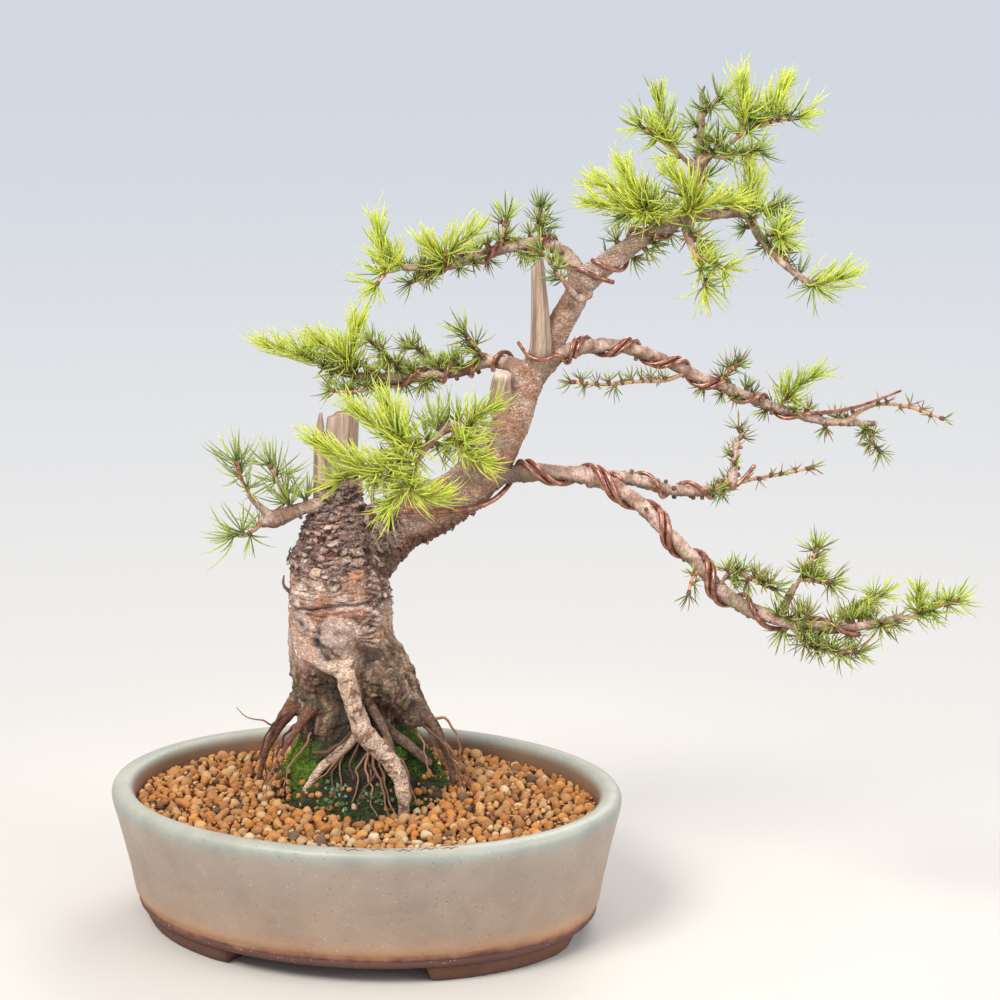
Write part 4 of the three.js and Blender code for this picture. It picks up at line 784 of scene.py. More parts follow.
# The flank's fibres are lighter on their ridges: painted light; they are darkened in their grooves further
# down: painted shade
flank_tint = mix(srgb(132, 100, 76), srgb(204, 168, 136), 
                 smoothstep(-0.2, 0.5, fibres))
base = mix(base, flank_tint, 0.85 * flank)
base = mix(base, srgb(76, 56, 40), 0.6 * flank * smoothstep(0.15, 0.5, broad + 0.1))
mossy = smoothstep(0.15, 0.5, fractal_at(stem_co, 9.0, 29.0)) * smoothstep(172, 150, z)
base = mix(base, srgb(104, 116, 48), 0.55 * mossy * flank)
# Painted shade gathers in the hollows, in the cave under the burl and low down on the bole
sunk = np.zeros(len(x))
for middle, reach, _ in HOLLOWS:
    span = np.array(reach) * [0.9, 1.3, 0.9]
    sunk = np.maximum(sunk, np.exp(-(((stem_co - np.array(middle)) / span) ** 2).sum(1)))
base = mix(base, deep, 0.72 * smoothstep(0.2, 0.85, sunk) * ~slim_root)
cave = blob(-14, 122, 7, 19) * in_front
base = mix(base, deep, 0.7 * smoothstep(0.2, 0.8, cave) * ~slim_root)
base = mix(base, deep, 0.75 * smoothstep(124, 104, z) * ~slim_root)
front_root = limb_is["rootFront"]
root_tint = mix(srgb(236, 202, 174), srgb(150, 108, 84),
                smoothstep(0.05, 0.5, fractal_at(unrolled, 5.0, 12.0) + 0.25 * fibres))
root_tint = mix(root_tint, srgb(104, 74, 54), 0.85 * (~front_root & ~limb_is["rootFork"]))
root_tint = mix(root_tint, srgb(146, 84, 60), 0.6 * (limb_is["rootLeft"] | limb_is["rootLeftFront"]))
root_tint = mix(root_tint, deep, 0.6 * smoothstep(88, 72, z))
base = mix(base, root_tint, slim_root)
rings = smoothstep(0.45, 0.75, noise_at(out * 0.3 + ahead * (along * 2.2)[:, None], 2.6, 4.0))
base = mix(base, srgb(92, 62, 46), 0.55 * rings * front_root * slim_root)
# The cracks are the bark's own dark joints; the fold is darkened with them as painted shade
crack = smoothstep(0.12, 0.02, edge) * np.clip(amp / 1.3, 0, 1)
base = mix(base, deep, 0.85 * np.maximum(crack, fold))
crack = smoothstep(0.1, 0.02, edge_small) * np.clip(amp / 1.6, 0, 1)
base = mix(base, deep, 0.4 * crack)
# Painted shade: the flank's fibre grooves, the crease round the burl, the groove at the arm's foot, the knob's
# hole, the ring's pit and groove, and the troughs between the spokes
base = mix(base, deep, 0.45 * smoothstep(0.0, -0.7, fibres) * flank)
base = mix(base, deep, 0.5 * crease)
base = mix(base, deep, 0.55 * bell(arm_line - 7, 1.7) * arm_foot)
base = mix(base, srgb(120, 78, 62), 0.85 * knots)
base = mix(base, deep, 0.95 * bell(knob_far, 2.7) * knob_zone)
base = mix(base, deep, 0.75 * in_front * (bell(ring_way, 1.3) + bell(ring_way - 4.3, 0.7)))
base = mix(base, deep, 0.5 * spoked * smoothstep(-0.2, -0.9, spokes))
bole_light = (limb_is["bole"] | limb_is["swelling"] | limb_is["knot"]) * smoothstep(146, 160, z)
base = base * (1 + 0.1 * grit + 0.3 * bole_light)[:, None]
# The trunk past the bole is greyer and redder than the bole
leaning = (limb_is["trunk"] | limb_is["crown"]) * smoothstep(6, 30, x)
base = base * mix(WHITE, (0.9, 0.8, 0.75), leaning)
base = mix(base, srgb(208, 182, 164), 0.5 * limb_is["crown"] * smoothstep(104, 132, x))
base = np.clip(base, 0, 0.92)
# What the bark material adds: flakes, wrinkles or fibres
zone = np.stack([np.clip(amp / 2.2, 0, 1), np.clip(wrinkled + 0.4 * smooth_trunk, 0, 1),
                 np.clip(0.5 * flank + 0.3 * slim_root, 0, 1)], axis=1)
# The skin is cut across the trunk into two closed pieces, each with a cap inside
CUT_AT = np.array([39.0, 10.0, 241.0])
CUT_WAY = unit(np.array([16.0, -2.0, 9.0]))
middle = stem_co[stem_quads].mean(1)
upper = ((middle - CUT_AT) @ CUT_WAY > 0) & (middle[:, 2] > 190)
for part_name, kept in (("stem", ~upper), ("trunk", upper)):
    used, quads = np.unique(stem_quads[kept], return_inverse=True)
    quads = quads.reshape(-1, 4)
    count = len(used)
    start = quads.ravel()
    stop = np.roll(quads, -1, axis=1).ravel()
    rim = ~np.isin(start * count + stop, stop * count + start)
    cap = np.stack([stop[rim], start[rim], np.full(rim.sum(), count)], axis=1)
    points = np.vstack([stem_co[used], stem_co[used][start[rim]].mean(0)])
    tint = np.vstack([base[used], deep])
    part_zone = np.vstack([zone[used], np.zeros(3)])
    piece(part_name, (points, cap, quads, tint), bark_shader.material, ["tree"],
          zone=part_zone, sharp=start[rim])

# Flakes of bark that lift off the stem: thin curled scales with a torn edge
FLAKE_RIM = 9
FLAKES = 230
FLAKE_TINTS = [srgb(196, 142, 102), srgb(206, 172, 150), srgb(226, 198, 170)]
flake_normal = unit(normals_of(stem_co, stem_quads) + 1.2 * unit(out))
weight = (np.clip(amp - 0.6, 0, 1.6) * above + 0.05 * wrinkled) * smoothstep(0.0, 0.3, edge)
weight = weight / weight.sum()
chosen = [(index, None) for index in rng.choice(len(stem_co), FLAKES, p=weight)]
for (fx, fz, wide, tall), colour in zip(((-2.5, 208, 4.6, 3.0), (-25.5, 210, 3.6, 2.8), (-15, 156, 2.2, 1.7)),
                                        FLAKE_TINTS):
    cost = np.hypot(x - fx, z - fz) + np.where(y < 4, 0, 99)
    chosen.append((int(cost.argmin()), (wide, tall, colour)))
flakes = Soup()
flake_tris = []
for k in range(FLAKE_RIM):
    a, b = k, (k + 1) % FLAKE_RIM
    inner, outer, below = 0, FLAKE_RIM, 2 * FLAKE_RIM
    flake_tris += [(inner + a, outer + a, outer + b), (inner + a, outer + b, inner + b),
                   (outer + a, below + a, below + b), (outer + a, below + b, outer + b),
                   (3 * FLAKE_RIM, inner + a, inner + b), (3 * FLAKE_RIM + 1, below + b, below + a)]
around = turns_of(FLAKE_RIM)
SQUARED = 1 / np.maximum(np.abs(np.cos(around)), np.abs(np.sin(around)))
for index, given in chosen:
    n = flake_normal[index]
    up = unit(ahead[index] - n * (n @ ahead[index]))
    right = np.cross(up, n)
    wide, tall = (rng.uniform(1.4, 3.4), rng.uniform(0.8, 1.7)) if given is None else given[:2]
    torn = SQUARED * rng.uniform(0.62, 1.08, FLAKE_RIM)
    if given is not None:
        # The three large flakes have a smoother edge
        torn = SQUARED * rng.uniform(0.78, 1.08, FLAKE_RIM)
    turn = rng.normal(0, 0.35 if given is None else 0.08)
    lift = rng.uniform(0.2, 0.9) if given is None else 0.7
    cu, cv = np.cos(around) * wide * torn, np.sin(around) * tall * torn
    u = cu * math.cos(turn) - cv * math.sin(turn)
    v = cu * math.sin(turn) + cv * math.cos(turn)
    rise = (0.25 if given is None else 0.7) + lift * np.clip(0.5 - v / tall, 0, 1.6)
    rim = stem_co[index] + right * u[:, None] + up * v[:, None] + n * rise[:, None]
    inner = stem_co[index] + right * (0.6 * u)[:, None] + up * (0.6 * v)[:, None] + n * (rise + 0.35)[:, None]
    middle = stem_co[index] + n * (0.65 + 0.5 * lift)
    points = np.vstack([inner, rim, rim - n * 0.5, middle[None], (middle - n * 0.9)[None]])
    shade = base[index] * rng.uniform(0.85, 1.25) if given is None else given[2]
    shade = mix(shade, purple, rng.uniform(0, 0.4)) if given is None else shade
    tint = np.tile(shade, (len(points), 1))
    # The flake's rim and its underside are darker: painted shade under the lifted edge
    tint[FLAKE_RIM:2 * FLAKE_RIM] *= 0.8
    tint[2 * FLAKE_RIM:3 * FLAKE_RIM] *= 0.35
    flakes.add(points, flake_tris, None, tint)
piece("bark_flakes", flakes.arrays(), branch_shader.material, smooth=False)


# Dead wood: standing stubs with the grain along them and a broken top
DEAD_SIDES = 48


def dead_stub(run, squash, ragged, tint_top):
    samples = resampled(sample_run(run, 24), 1.0)
    n, sides = len(samples["at"]), DEAD_SIDES
    angle = turns_of(sides)
    points, tris, quads = tube(samples, sides)
    rings = points[:-2].reshape(n, sides, 3)
    out = rings - samples["at"][:, None]
    flat = np.stack([np.cos(angle) * 6, np.sin(angle) * 6, np.zeros(sides)], axis=1)
    ridge = np.array([noise_at(flat + np.array([0, 0, s * 0.03]), 1.6) for s in samples["along"]])
    out = out * (1 + 0.13 * ridge)[:, :, None]
    out[:, :, 1] *= squash
    share = samples["along"] / samples["along"][-1]
    tear = np.array([noise_at(flat, 1.1, 4.0)]) * ragged + np.cos(angle)[None] * ragged * 0.8
    rings = samples["at"][:, None] + out
    rings += samples["ahead"][:, None] * (tear * smoothstep(0.55, 1.0, share)[:, None])[:, :, None]
    points[:-2] = rings.reshape(-1, 3)
    points[-1] = points[-1] - samples["ahead"][-1] * ragged * 0.6
    shade = mix(srgb(190, 163, 142), srgb(130, 103, 88),
                smoothstep(-0.4, 0.5, ridge.ravel()))
    up = np.repeat(share, sides)
    shade = mix(shade, srgb(150, 122, 102), 0.6 * smoothstep(0.35, 0.0, up))
    shade = mix(shade, srgb(184, 146, 124), tint_top * smoothstep(0.75, 0.5, up))
    shade = mix(shade, srgb(220, 198, 175), tint_top * smoothstep(0.85, 1.0, up))
    heart = srgb(184, 150, 122) if tint_top else srgb(150, 118, 96)
    return points, tris, quads, np.vstack([shade, shade[:1], heart])


# Run, how flat it is, how ragged its top, and how pale
DEAD_STUBS = (
    (LIMBS["deadwoodMiddle"][:-1] + [[99, -6, 383, 3.4]], 0.8, 2.6, 0.0),
    (LIMBS["deadwoodLow"][:-1] + [[80, -7, 322, 4.6]], 1.0, 0.3, 1.0),
    ([[-14, 14, 232, 15.5], [-14, 14, 246, 12.5], [-12.5, 13, 262, 10.2], [-11.5, 13, 280, 9.2],
      [-10.5, 13, 296, 8.6]], 0.75, 3.0, 0.0),
    ([[-20, 12, 244, 8], [-22.5, 12, 264, 5.2], [-23.5, 11.5, 284, 3], [-23, 11, 297, 0.9]],
     0.8, 0.4, 0.0),
)
dead = Soup()
for stub in DEAD_STUBS:
    dead.add(*dead_stub(*stub))
piece("dead_wood", dead.arrays(), dead_shader.material)

# Branches: each a tapering tube with knuckles, spur stubs and a swollen foot
branches = Soup()
BRANCH_SIDES = 18
BRANCHES = [name for name in LIMBS if name not in STEM and name not in DEAD]
for name in BRANCHES:
    samples = {key: value.copy() for key, value in fine[name].items()}
    n, sides = len(samples["at"]), BRANCH_SIDES
    s = samples["along"]
    angle = turns_of(sides)
    out = (samples["side"][:, None] * np.cos(angle)[None, :, None]
           + samples["across"][:, None] * np.sin(angle)[None, :, None])
    surface = samples["at"][:, None] + out * samples["radius"][:, None, None]
    flat = surface.reshape(-1, 3)
    lumps = noise_at(flat, 7.0, 1.0).reshape(n, sides)
    ticks = noise_at(flat, 1.9, 6.0).reshape(n, sides)
    knuckle = np.clip(noise_at(np.stack([s, s * 0 + len(name), s * 0], axis=1), 5.5), 0, 1)[:, None]
    rough = 1.4 if name in ("low", "lowFork") else 1.0
    scars = np.clip(noise_at(np.stack([2.2 * s, s * 0 + len(name), s * 0], axis=1), 3.0), -0.3, 1)[:, None]
    foot = 0.35 * np.exp(-s / 7)[:, None]
    radii = samples["radius"][:, None] * (1 + 0.14 * lumps + 0.1 * rough * ticks + 0.3 * knuckle
                                               + 0.1 * rough * scars + foot)
    if name == "left":
        radii = radii * (1.1 + 0.35 * smoothstep(15, 38, s))[:, None]
    points, tris, quads = tube(samples, sides, radii)
    shade = mix(srgb(218, 186, 168), srgb(160, 122, 102),
                smoothstep(-0.25, 0.45, (lumps + 0.4 * ticks).ravel()))
    shade = mix(shade, srgb(84, 58, 46), 0.7 * smoothstep(-0.1, -0.5, ticks.ravel()))
    shade = mix(shade, srgb(92, 64, 50), 0.5 * smoothstep(0.25, 0.6, np.repeat(scars[:, 0], sides)))
    # Branches are darker on their undersides: painted shade
    shade = mix(shade, srgb(104, 76, 60), 0.55 * smoothstep(-0.1, -0.8, out[:, :, 2].ravel()))
    if name == "middleRightTip":
        shade = mix(shade, srgb(222, 182, 142), 0.7)
    if name == "low":
        shade = mix(shade, srgb(122, 106, 92), np.repeat(0.7 * smoothstep(70, 20, s), sides))
        grown = smoothstep(0.1, 0.45, noise_at(flat, 12.0, 23.0)) * np.repeat(smoothstep(90, 130, s), sides)
        shade = mix(shade, srgb(138, 126, 88), 0.6 * grown)
    if name == "leader":
        shade = mix(shade, srgb(176, 160, 148), np.repeat(0.8 * smoothstep(35, 55, s), sides))
    shade = np.vstack([shade, shade[:1], shade[-1:]])
    branches.add(points, tris, quads, shade)
# A hooked twig on the bole's left edge, and the leader's thin broken tip
for run, colour in (([[-38, 5, 193, 1.4], [-42.5, 2, 196, 1.1], [-45, 1, 200, 0.8], [-44.6, 1, 205, 0.45]],
                     srgb(120, 92, 80)),
                    ([[188.4, 2.4, 462, 2.0], [188.8, 3, 468, 1.6], [188.2, 3, 473, 1.2],
                      [189.8, 3, 478, 0.5]], srgb(132, 104, 84))):
    points, tris, quads = tube(resampled(sample_run(run, 12), 0.8), 10)
    points = points + 0.25 * noise_at(points, 1.6)[:, None]
    branches.add(points, tris, quads, colour)
piece("branches", branches.arrays(), branch_shader.material)

# Training wires: round aluminium wire, coiled on the limbs. Each has its name, its limb, where it
# starts and stops on it, its turns, its first angle, and its free ends before and after.
WIRES = [
    ("wire_low_outer", "low", 0.095, 0.9, 5.75, -1.57,
     [[24, -8, 244], [38, -9, 238], [55, -9, 238], [70, -7, 246], [78, 0, 253]], []),
    ("wire_low_inner", "low", 0.125, 0.66, 3.82, -1.1, [], []),
    ("wire_fork", "lowFork", 0.12, 0.95, 3.3, 0.8, [], [[222, 17, 259], [224, 16, 266]]),
    ("wire_middle_right_outer", "middleRight", 0.12, 0.84, -5.47, 2.96,
     [[89, 2, 338], [87, -5, 331], [91, -10, 326], [98, -12, 324], [106, -9, 327], [112, -5, 334],
      [114, 3, 338], [113.5, 9.6, 333]],
     [[281, 32, 285.5], [291, 32, 293.5], [300, 31, 300.5], [309, 31, 307]]),
    ("wire_middle_right_inner", "middleRight", 0.15, 0.62, -3.57, 2.4, [], []),
    ("wire_middle_left", "middleLeft", 0.2, 0.84, -4.5, 2.4, [], []),
    ("wire_upper_left", "upperLeft", 0.28, 0.94, -3.4, 3.7,
     [[141, -3, 372], [131, -8, 373], [119, -8, 376], [111, -1, 379], [109, 8, 385]], []),
    ("wire_crown", "crown", 0.66, 0.94, 1.6, 3.6, [], []),
]
wood_at = np.vstack([fine[n]["at"] for n in LIMBS])
wood_radius = np.concatenate([fine[n]["radius"] * (1.08 if n in STEM else 1.12) for n in LIMBS])
wire_shader = Shader("anodised_wire", 0.36, Metallic=0.6)
# The wire's colour runs in patches from dark copper to pale pink: wear, with painted highlights and painted
# shade
wire_wear_and_sheen = wire_shader.noise(3.5, 4)
wire_shader.colour(wire_shader.ramp(wire_wear_and_sheen, [
    (0.32, srgb(112, 70, 58)), (0.55, srgb(168, 114, 96)), (0.75, srgb(214, 162, 142))]))
wire_shader.roughness(wire_shader.noise(1.3, 3), 0.22, 0.42)
wire_shader.bump(wire_shader.noise(0.8, 2), 0.05)
# Rounds in which a wire is pushed clear of the wood and of other wires, and smoothed
WIRE_ROUNDS = 24
laid_at, laid_radius = [], []
for name, limb_name, start, stop, turns, phase, lead, tail in WIRES:
    wire_radius = LOW_WIRE_RADIUS if name.startswith("wire_low") else WIRE_RADIUS
    run = sample_run(LIMBS[limb_name], 12)
    steps = int(abs(turns) * 20)
    rows = []
    for k in range(steps + 1):
        place_on = (start + (stop - start) * k / steps) * (len(run["at"]) - 1)
        i = min(len(run["at"]) - 2, int(place_on))
        w = place_on - i
        at = run["at"][i] * (1 - w) + run["at"][i + 1] * w
        r = run["radius"][i] * (1 - w) + run["radius"][i + 1] * w + wire_radius
        turn = phase + 2 * math.pi * turns * k / steps
        rows.append(at + way_out(run, i, turn) * r)
    path = np.array([*map(np.array, lead), *rows, *map(np.array, tail)], float)
    obstacles = np.vstack([wood_at, *laid_at])
    sizes = np.concatenate([wood_radius, *laid_radius]) + wire_radius
    for step in range(WIRE_ROUNDS):
        away = path[:, None] - obstacles[None]
        distance = np.linalg.norm(away, axis=2)
        lack = sizes[None] - distance
        worst = lack.argmax(1)
        each = np.arange(len(path))
        push = np.clip(lack[each, worst], 0, 3)
        path = path + away[each, worst] / distance[each, worst][:, None] * push[:, None]
        if step < WIRE_ROUNDS - 2:
            path[1:-1] = path[1:-1] * 0.7 + (path[:-2] + path[2:]) * 0.15
    samples = resampled(sample_run(np.column_stack([path, np.full(len(path), wire_radius)]), 3), 1.4)
    laid_at.append(samples["at"])
    laid_radius.append(samples["radius"].copy())
    if name == "wire_middle_right_outer":
        samples["radius"] *= 1 - 0.45 * smoothstep(44, 4, samples["along"][-1] - samples["along"])
    wire = Soup()
    wire.add(*tube(samples, 12, end_cap=0.5))
    piece(name + "_round", wire.arrays(), wire_shader.material, [name])

# Leafy twigs: colour, then each twig's run, its tufts and its kind
SPRAYS = {
    "spray_leader": ["green",
        [[[188, 2, 460], [192, -2, 466], [196, -6, 470]], 1, "rosette"]],
    "spray_apex_left": ["green",
        [[[182, -1, 436], [171, -6, 446], [155, -10, 456]], 2, "rosette"],
        [[[171, -6, 446], [167, -9, 458], [164, -12, 470]], 2, "shoot"]],
    "spray_apex_right": ["lime",
        [[[200, -3, 444], [211, -6, 453], [222, -9, 458], [238, -12, 461]], 2, "rosette"],
        [[[211, -6, 453], [210, -8, 464], [208, -12, 477]], 2, "shoot"],
        [[[222, -9, 458], [226, -7, 466], [231, -4, 476]], 2, "shoot"]],
    "spray_apex_inner": ["dark",
        [[[193, -2, 441], [199, -10, 440], [207, -16, 442], [216, -20, 444]], 2, "rosette"]],
    "spray_crown_left": ["lime",
        [[[168, -2, 403], [158, -14, 411], [144, -20, 415], [131, -24, 416]], 3, "shoot"],
        [[[158, -14, 411], [148, -10, 419], [135, -6, 425]], 2, "shoot"],
        [[[161, -12, 409], [154, -18, 420], [146, -22, 432]], 2, "shoot"]],
    "spray_crown_right": ["lime",
        [[[178, -3, 408], [184, -14, 414], [193, -19, 416], [202, -22, 417]], 3, "shoot"],
        [[[183, -12, 413], [180, -18, 423], [172, -22, 430]], 2, "shoot"]],
    "spray_crown_back": ["dark",
        [[[168, -1, 402], [165, 12, 407], [157, 20, 408], [147, 26, 406]], 2, "rosette"]],
    "spray_knot_up": ["lime",
        [[[212, 1, 408], [217, 4, 420], [216, 5, 432]], 2, "shoot"]],
    "spray_knot_right": ["dark",
        [[[213, 1, 408], [222, 9, 411], [232, 13, 413]], 2, "rosette"]],
    "spray_droop_middle": ["lime",
        [[[222, -6, 396], [227, -14, 400], [230, -20, 398]], 2, "rosette"]],
    "spray_droop_tip": ["lime",
        [[[244, -17, 374], [252, -20, 373], [262, -24, 376]], 3, "shoot"]],
    "spray_droop_inner": ["dark",
        [[[182, -15, 393], [185, -20, 386], [189, -25, 373]], 2, "rosette"],
        [[[185, -20, 387], [192, -22, 385], [198, -24, 382]], 1, "rosette"]],
    "spray_upper_tip": ["lime",
        [[[28, 20, 378], [17, 20, 381], [12, 18, 390], [11, 16, 398]], 3, "shoot"],
        [[[18, 20, 380], [14, 14, 375], [10, 10, 370]], 1, "rosette"]],
    "spray_upper_middle": ["lime",
        [[[50, 19, 380], [46, 11, 385], [40, 7, 391]], 2, "shoot"],
        [[[46, 11, 385], [55, 8, 392], [62, 6, 397]], 2, "shoot"]],
    "spray_upper_inner": ["green",
        [[[78, 20, 387], [80, 15, 396], [82, 13, 405]], 2, "rosette"]],
    "spray_upper_root": ["dark",
        [[[102, 18, 391], [100, 21, 400], [101, 25, 410]], 2, "rosette"]],
    "spray_upper_low": ["dark",
        [[[36, 20, 380], [36, 27, 373], [28, 32, 369]], 2, "rosette"]],
    "spray_upper_front": ["dark",
        [[[117, -17, 369], [110, -21, 378], [101, -23, 390]], 2, "rosette"]],
    "spray_middle_tip": ["lime",
        [[[-22, 36, 320], [-33, 36, 326], [-42, 34, 329], [-51, 32, 332]], 3, "shoot"]],
    "spray_middle_up": ["lime",
        [[[-7, 36, 315], [-8, 30, 325], [-5, 28, 334], [-3, 27, 343]], 3, "shoot"],
        [[[-8, 30, 325], [-16, 25, 331], [-23, 22, 335]], 2, "shoot"]],
    "spray_middle_pad_left": ["green",
        [[[20, 35, 314], [18, 27, 323], [13, 23, 330], [6, 21, 336]], 2, "rosette"]],
    "spray_middle_pad_right": ["green",
        [[[44, 33, 315], [40, 40, 322], [34, 44, 328], [26, 48, 330]], 2, "rosette"]],
    "spray_middle_low": ["dark",
        [[[6, 35, 314], [3, 29, 309], [-7, 25, 307], [-17, 24, 308]], 2, "rosette"]],
    "spray_middle_plume": ["green",
        [[[72, 27, 324], [66, 20, 332], [59, 17, 341]], 2, "rosette"]],
    "spray_front_upper": ["lime",
        [[[38, -38, 287], [27, -48, 290], [16, -54, 299], [4, -58, 308]], 3, "shoot"],
        [[[27, -48, 290], [23, -44, 300], [18, -42, 309]], 2, "shoot"]],
    "spray_front_left": ["lime",
        [[[35, -43, 281], [16, -52, 276], [-1, -58, 282], [-18, -62, 292]], 3, "shoot"],
        [[[16, -52, 276], [4, -48, 270], [-7, -44, 269]], 2, "rosette"]],
    "spray_front_low": ["lime",
        [[[35, -43, 280], [27, -52, 267], [20, -56, 258]], 2, "shoot"],
        [[[27, -52, 267], [36, -56, 263], [44, -58, 263]], 2, "shoot"]],
    "spray_front_right": ["lime",
        [[[52, -28, 294], [60, -40, 284], [68, -46, 280]], 2, "shoot"]],
    "spray_front_top": ["green",
        [[[60, -17, 292], [64, -28, 301], [73, -32, 306]], 2, "shoot"]],
    "spray_left_tip": ["green",
        [[[-61, -6, 252], [-66, -8, 262], [-68, -10, 272]], 2, "rosette"]],
    "spray_left_up": ["green",
        [[[-38, 1, 242], [-43, 8, 250], [-48, 11, 258], [-52, 13, 266]], 2, "rosette"]],
    "spray_left_down": ["green",
        [[[-54, -5, 238], [-62, -8, 232], [-70, -10, 231]], 2, "rosette"]],
    "spray_right_upper": ["dark",
        [[[204, 23, 311], [206, 16, 318], [212, 12, 324]], 2, "rosette"]],
    "spray_right_fan": ["lime",
        [[[239, 32, 297], [244, 27, 305], [250, 25, 312], [257, 23, 317]], 3, "shoot"]],
    "spray_right_drop": ["dark",
        [[[291, 42, 286], [295, 40, 277], [299, 38, 271]], 1, "rosette"]],
    "spray_right_tip": ["dark",
        [[[287, 38, 294], [296, 36, 298], [310, 34, 298], [333, 30, 291]], 3, "rosette"]],
    "spray_lower_twig": ["dark",
        [[[184, 19, 319], [172, 9, 316], [155, 3, 316], [137, -2, 315], [119, -6, 317]], 2, "rosette"]],
    "spray_fork_up": ["dark",
        [[[215, 22, 279], [216, 20, 283], [214.5, 17, 287]], 1, "rosette"]],
    "spray_fork_tip": ["dark",
        [[[212, 20, 254], [226, 24, 257], [243, 28, 259], [259, 32, 262]], 2, "rosette"]],
    "spray_low_hang": ["green",
        [[[190, -23, 215], [185, -29, 210], [183, -32, 203]], 0, "rosette"]],
    "spray_low_inner": ["dark",
        [[[200, -27, 205], [207, -33, 216], [217, -38, 212], [228, -42, 208]], 2, "rosette"]],
    "spray_low_up": ["dark",
        [[[241, -38, 208], [247, -36, 218], [253, -34, 228]], 2, "rosette"],
        [[[243, -37, 212], [250, -45, 213], [258, -51, 214]], 2, "rosette"]],
    "spray_low_middle": ["green",
        [[[262, -50, 188], [269, -42, 196], [278, -37, 199], [289, -33, 202]], 2, "rosette"]],
    "spray_low_tip": ["lime",
        [[[295, -61, 196], [304, -63, 198], [311, -66, 203], [322, -70, 208]], 3, "rosette"],
        [[[304, -63, 198], [302, -70, 206], [301, -75, 214]], 2, "shoot"]],
    "spray_low_under": ["dark",
        [[[240, -43, 190], [243, -51, 181], [256, -56, 177], [272, -60, 177]], 2, "rosette"]],
}
# Buds that sit straight on the branches: limb, from, to, how many, and their style
ON_WOOD = [
    ("middleLeft", 0.35, 0.98, 34, "pad"), ("upperLeft", 0.3, 0.98, 24, "pad"),
    ("front", 0.35, 0.98, 9, "left"), ("crownRight", 0.25, 0.98, 9, "dark"),
    ("low", 0.74, 0.99, 22, "end"), ("lowFork", 0.82, 0.99, 6, "tuft"),
    ("middleRight", 0.5, 0.98, 14, "tuft"), ("left", 0.3, 0.6, 2, "left"), ("forkStub", 0.1, 0.9, 4, "twig"),
    ("crown", 0.62, 0.98, 8, "dark"), ("leader", 0.3, 0.75, 5, "green"),
    ("apexRight", 0.3, 0.95, 4, "dark"), ("middleDroop", 0.4, 0.95, 3, "dark"),
]
# Spurs whose needles have fallen: limb, from, to, how many
BARE_SPURS = [
    ("low", 0.2, 0.8, 16), ("lowFork", 0.15, 0.95, 14), ("middleRight", 0.06, 0.55, 10),
    ("middleRight", 0.55, 0.95, 8), ("middleRightTip", 0.3, 0.9, 3), ("forkStub", 0.2, 0.9, 4),
    ("leader", 0.15, 0.9, 7), ("crownRight", 0.2, 0.95, 7), ("middleLeft", 0.2, 0.9, 10),
    ("upperLeft", 0.2, 0.9, 8), ("left", 0.2, 0.8, 5), ("front", 0.2, 0.9, 6),
]
# How the foliage of each kind looks: needle length, needles a bud, millimetres between buds,
# the tones it mixes, and how far its needles curve
STYLES = {
    "lime": (19.0, 19, 5.5, ("lime", "lime", "lime", "fresh"), 0.66),
    "fresh": (17.0, 19, 5.5, ("fresh", "lime", "mid", "lime"), 0.5),
    "green": (15.0, 18, 5.5, ("mid", "fresh", "fresh", "dark"), 0.32),
    "dark": (13.5, 18, 5.0, ("dark", "mid", "mid", "fresh"), 0.28),
    "pad": (11.5, 19, 4.4, ("mid", "fresh", "fresh", "olive"), 0.32),
    "left": (20.0, 15, 6.5, ("fresh", "pale", "mid", "pale"), 0.5),
    "tuft": (11.0, 17, 4.2, ("mid", "olive", "dark", "fresh"), 0.25),
    "bare": (7.5, 6, 8.0, ("olive", "dry", "mid", "fresh"), 0.2),
    "twig": (9.5, 10, 6.0, ("olive", "mid", "olive", "fresh"), 0.25),
    "tip": (13.5, 20, 4.0, ("lime", "fresh", "mid", "fresh"), 0.36),
    "end": (13.0, 20, 3.8, ("mid", "fresh", "fresh", "olive"), 0.34),
}
# Each tone at a needle's root and at its tip
TONES = {
    "lime": (srgb(228, 236, 108), srgb(252, 254, 140)),
    "fresh": (srgb(196, 212, 112), srgb(242, 248, 144)),
    "mid": (srgb(154, 172, 106), srgb(214, 222, 146)),
    "dark": (srgb(116, 138, 90), srgb(176, 192, 132)),
    "olive": (srgb(146, 144, 92), srgb(200, 192, 132)),
    "pale": (srgb(176, 188, 128), srgb(230, 236, 168)),
    "dry": (srgb(172, 124, 88), srgb(224, 180, 138)),
}
# Sprays whose style is another than their colour, by the start of their name
STYLE_OF = {
    "spray_left": "left", "spray_right_fan": "fresh", "spray_right_tip": "bare", "spray_right": "tuft",
    "spray_lower_twig": "twig", "spray_fork": "twig", "spray_fork_tip": "bare", "spray_low_tip": "tip",
    "spray_low_middle": "tip", "spray_low": "end", "spray_low_hang": "twig", "spray_middle_pad": "pad",
    "spray_middle_low": "pad", "spray_upper_low": "pad",
    "spray_front_top": "fresh", "spray_apex_left": "fresh", "spray_droop_inner": "fresh",
    "spray_crown_back": "green", "spray_knot_right": "green", "spray_apex_inner": "green",
}
# How many of a style's needles are dry
DRY_SHARE = {"bare": 0.3, "end": 0.1, "tuft": 0.14, "twig": 0.16, "dark": 0.06, "pad": 0.05,
             "green": 0.05, "left": 0.04}
NEEDLE_SIDES = 3
# Needles follow each other round a twig by this angle, in radians
GOLDEN_TURN = 2.4
needles = {"lime": [], "green": [], "dark": []}


def style_of(spray, colour):
    for start in sorted(STYLE_OF, key=len, reverse=True):
        if spray.startswith(start):
            return STYLE_OF[start]
    return colour


def toned(style):
    if rng.uniform() < DRY_SHARE.get(style, 0.0):
        return "dry"
    return STYLES[style][3][rng.integers(4)]


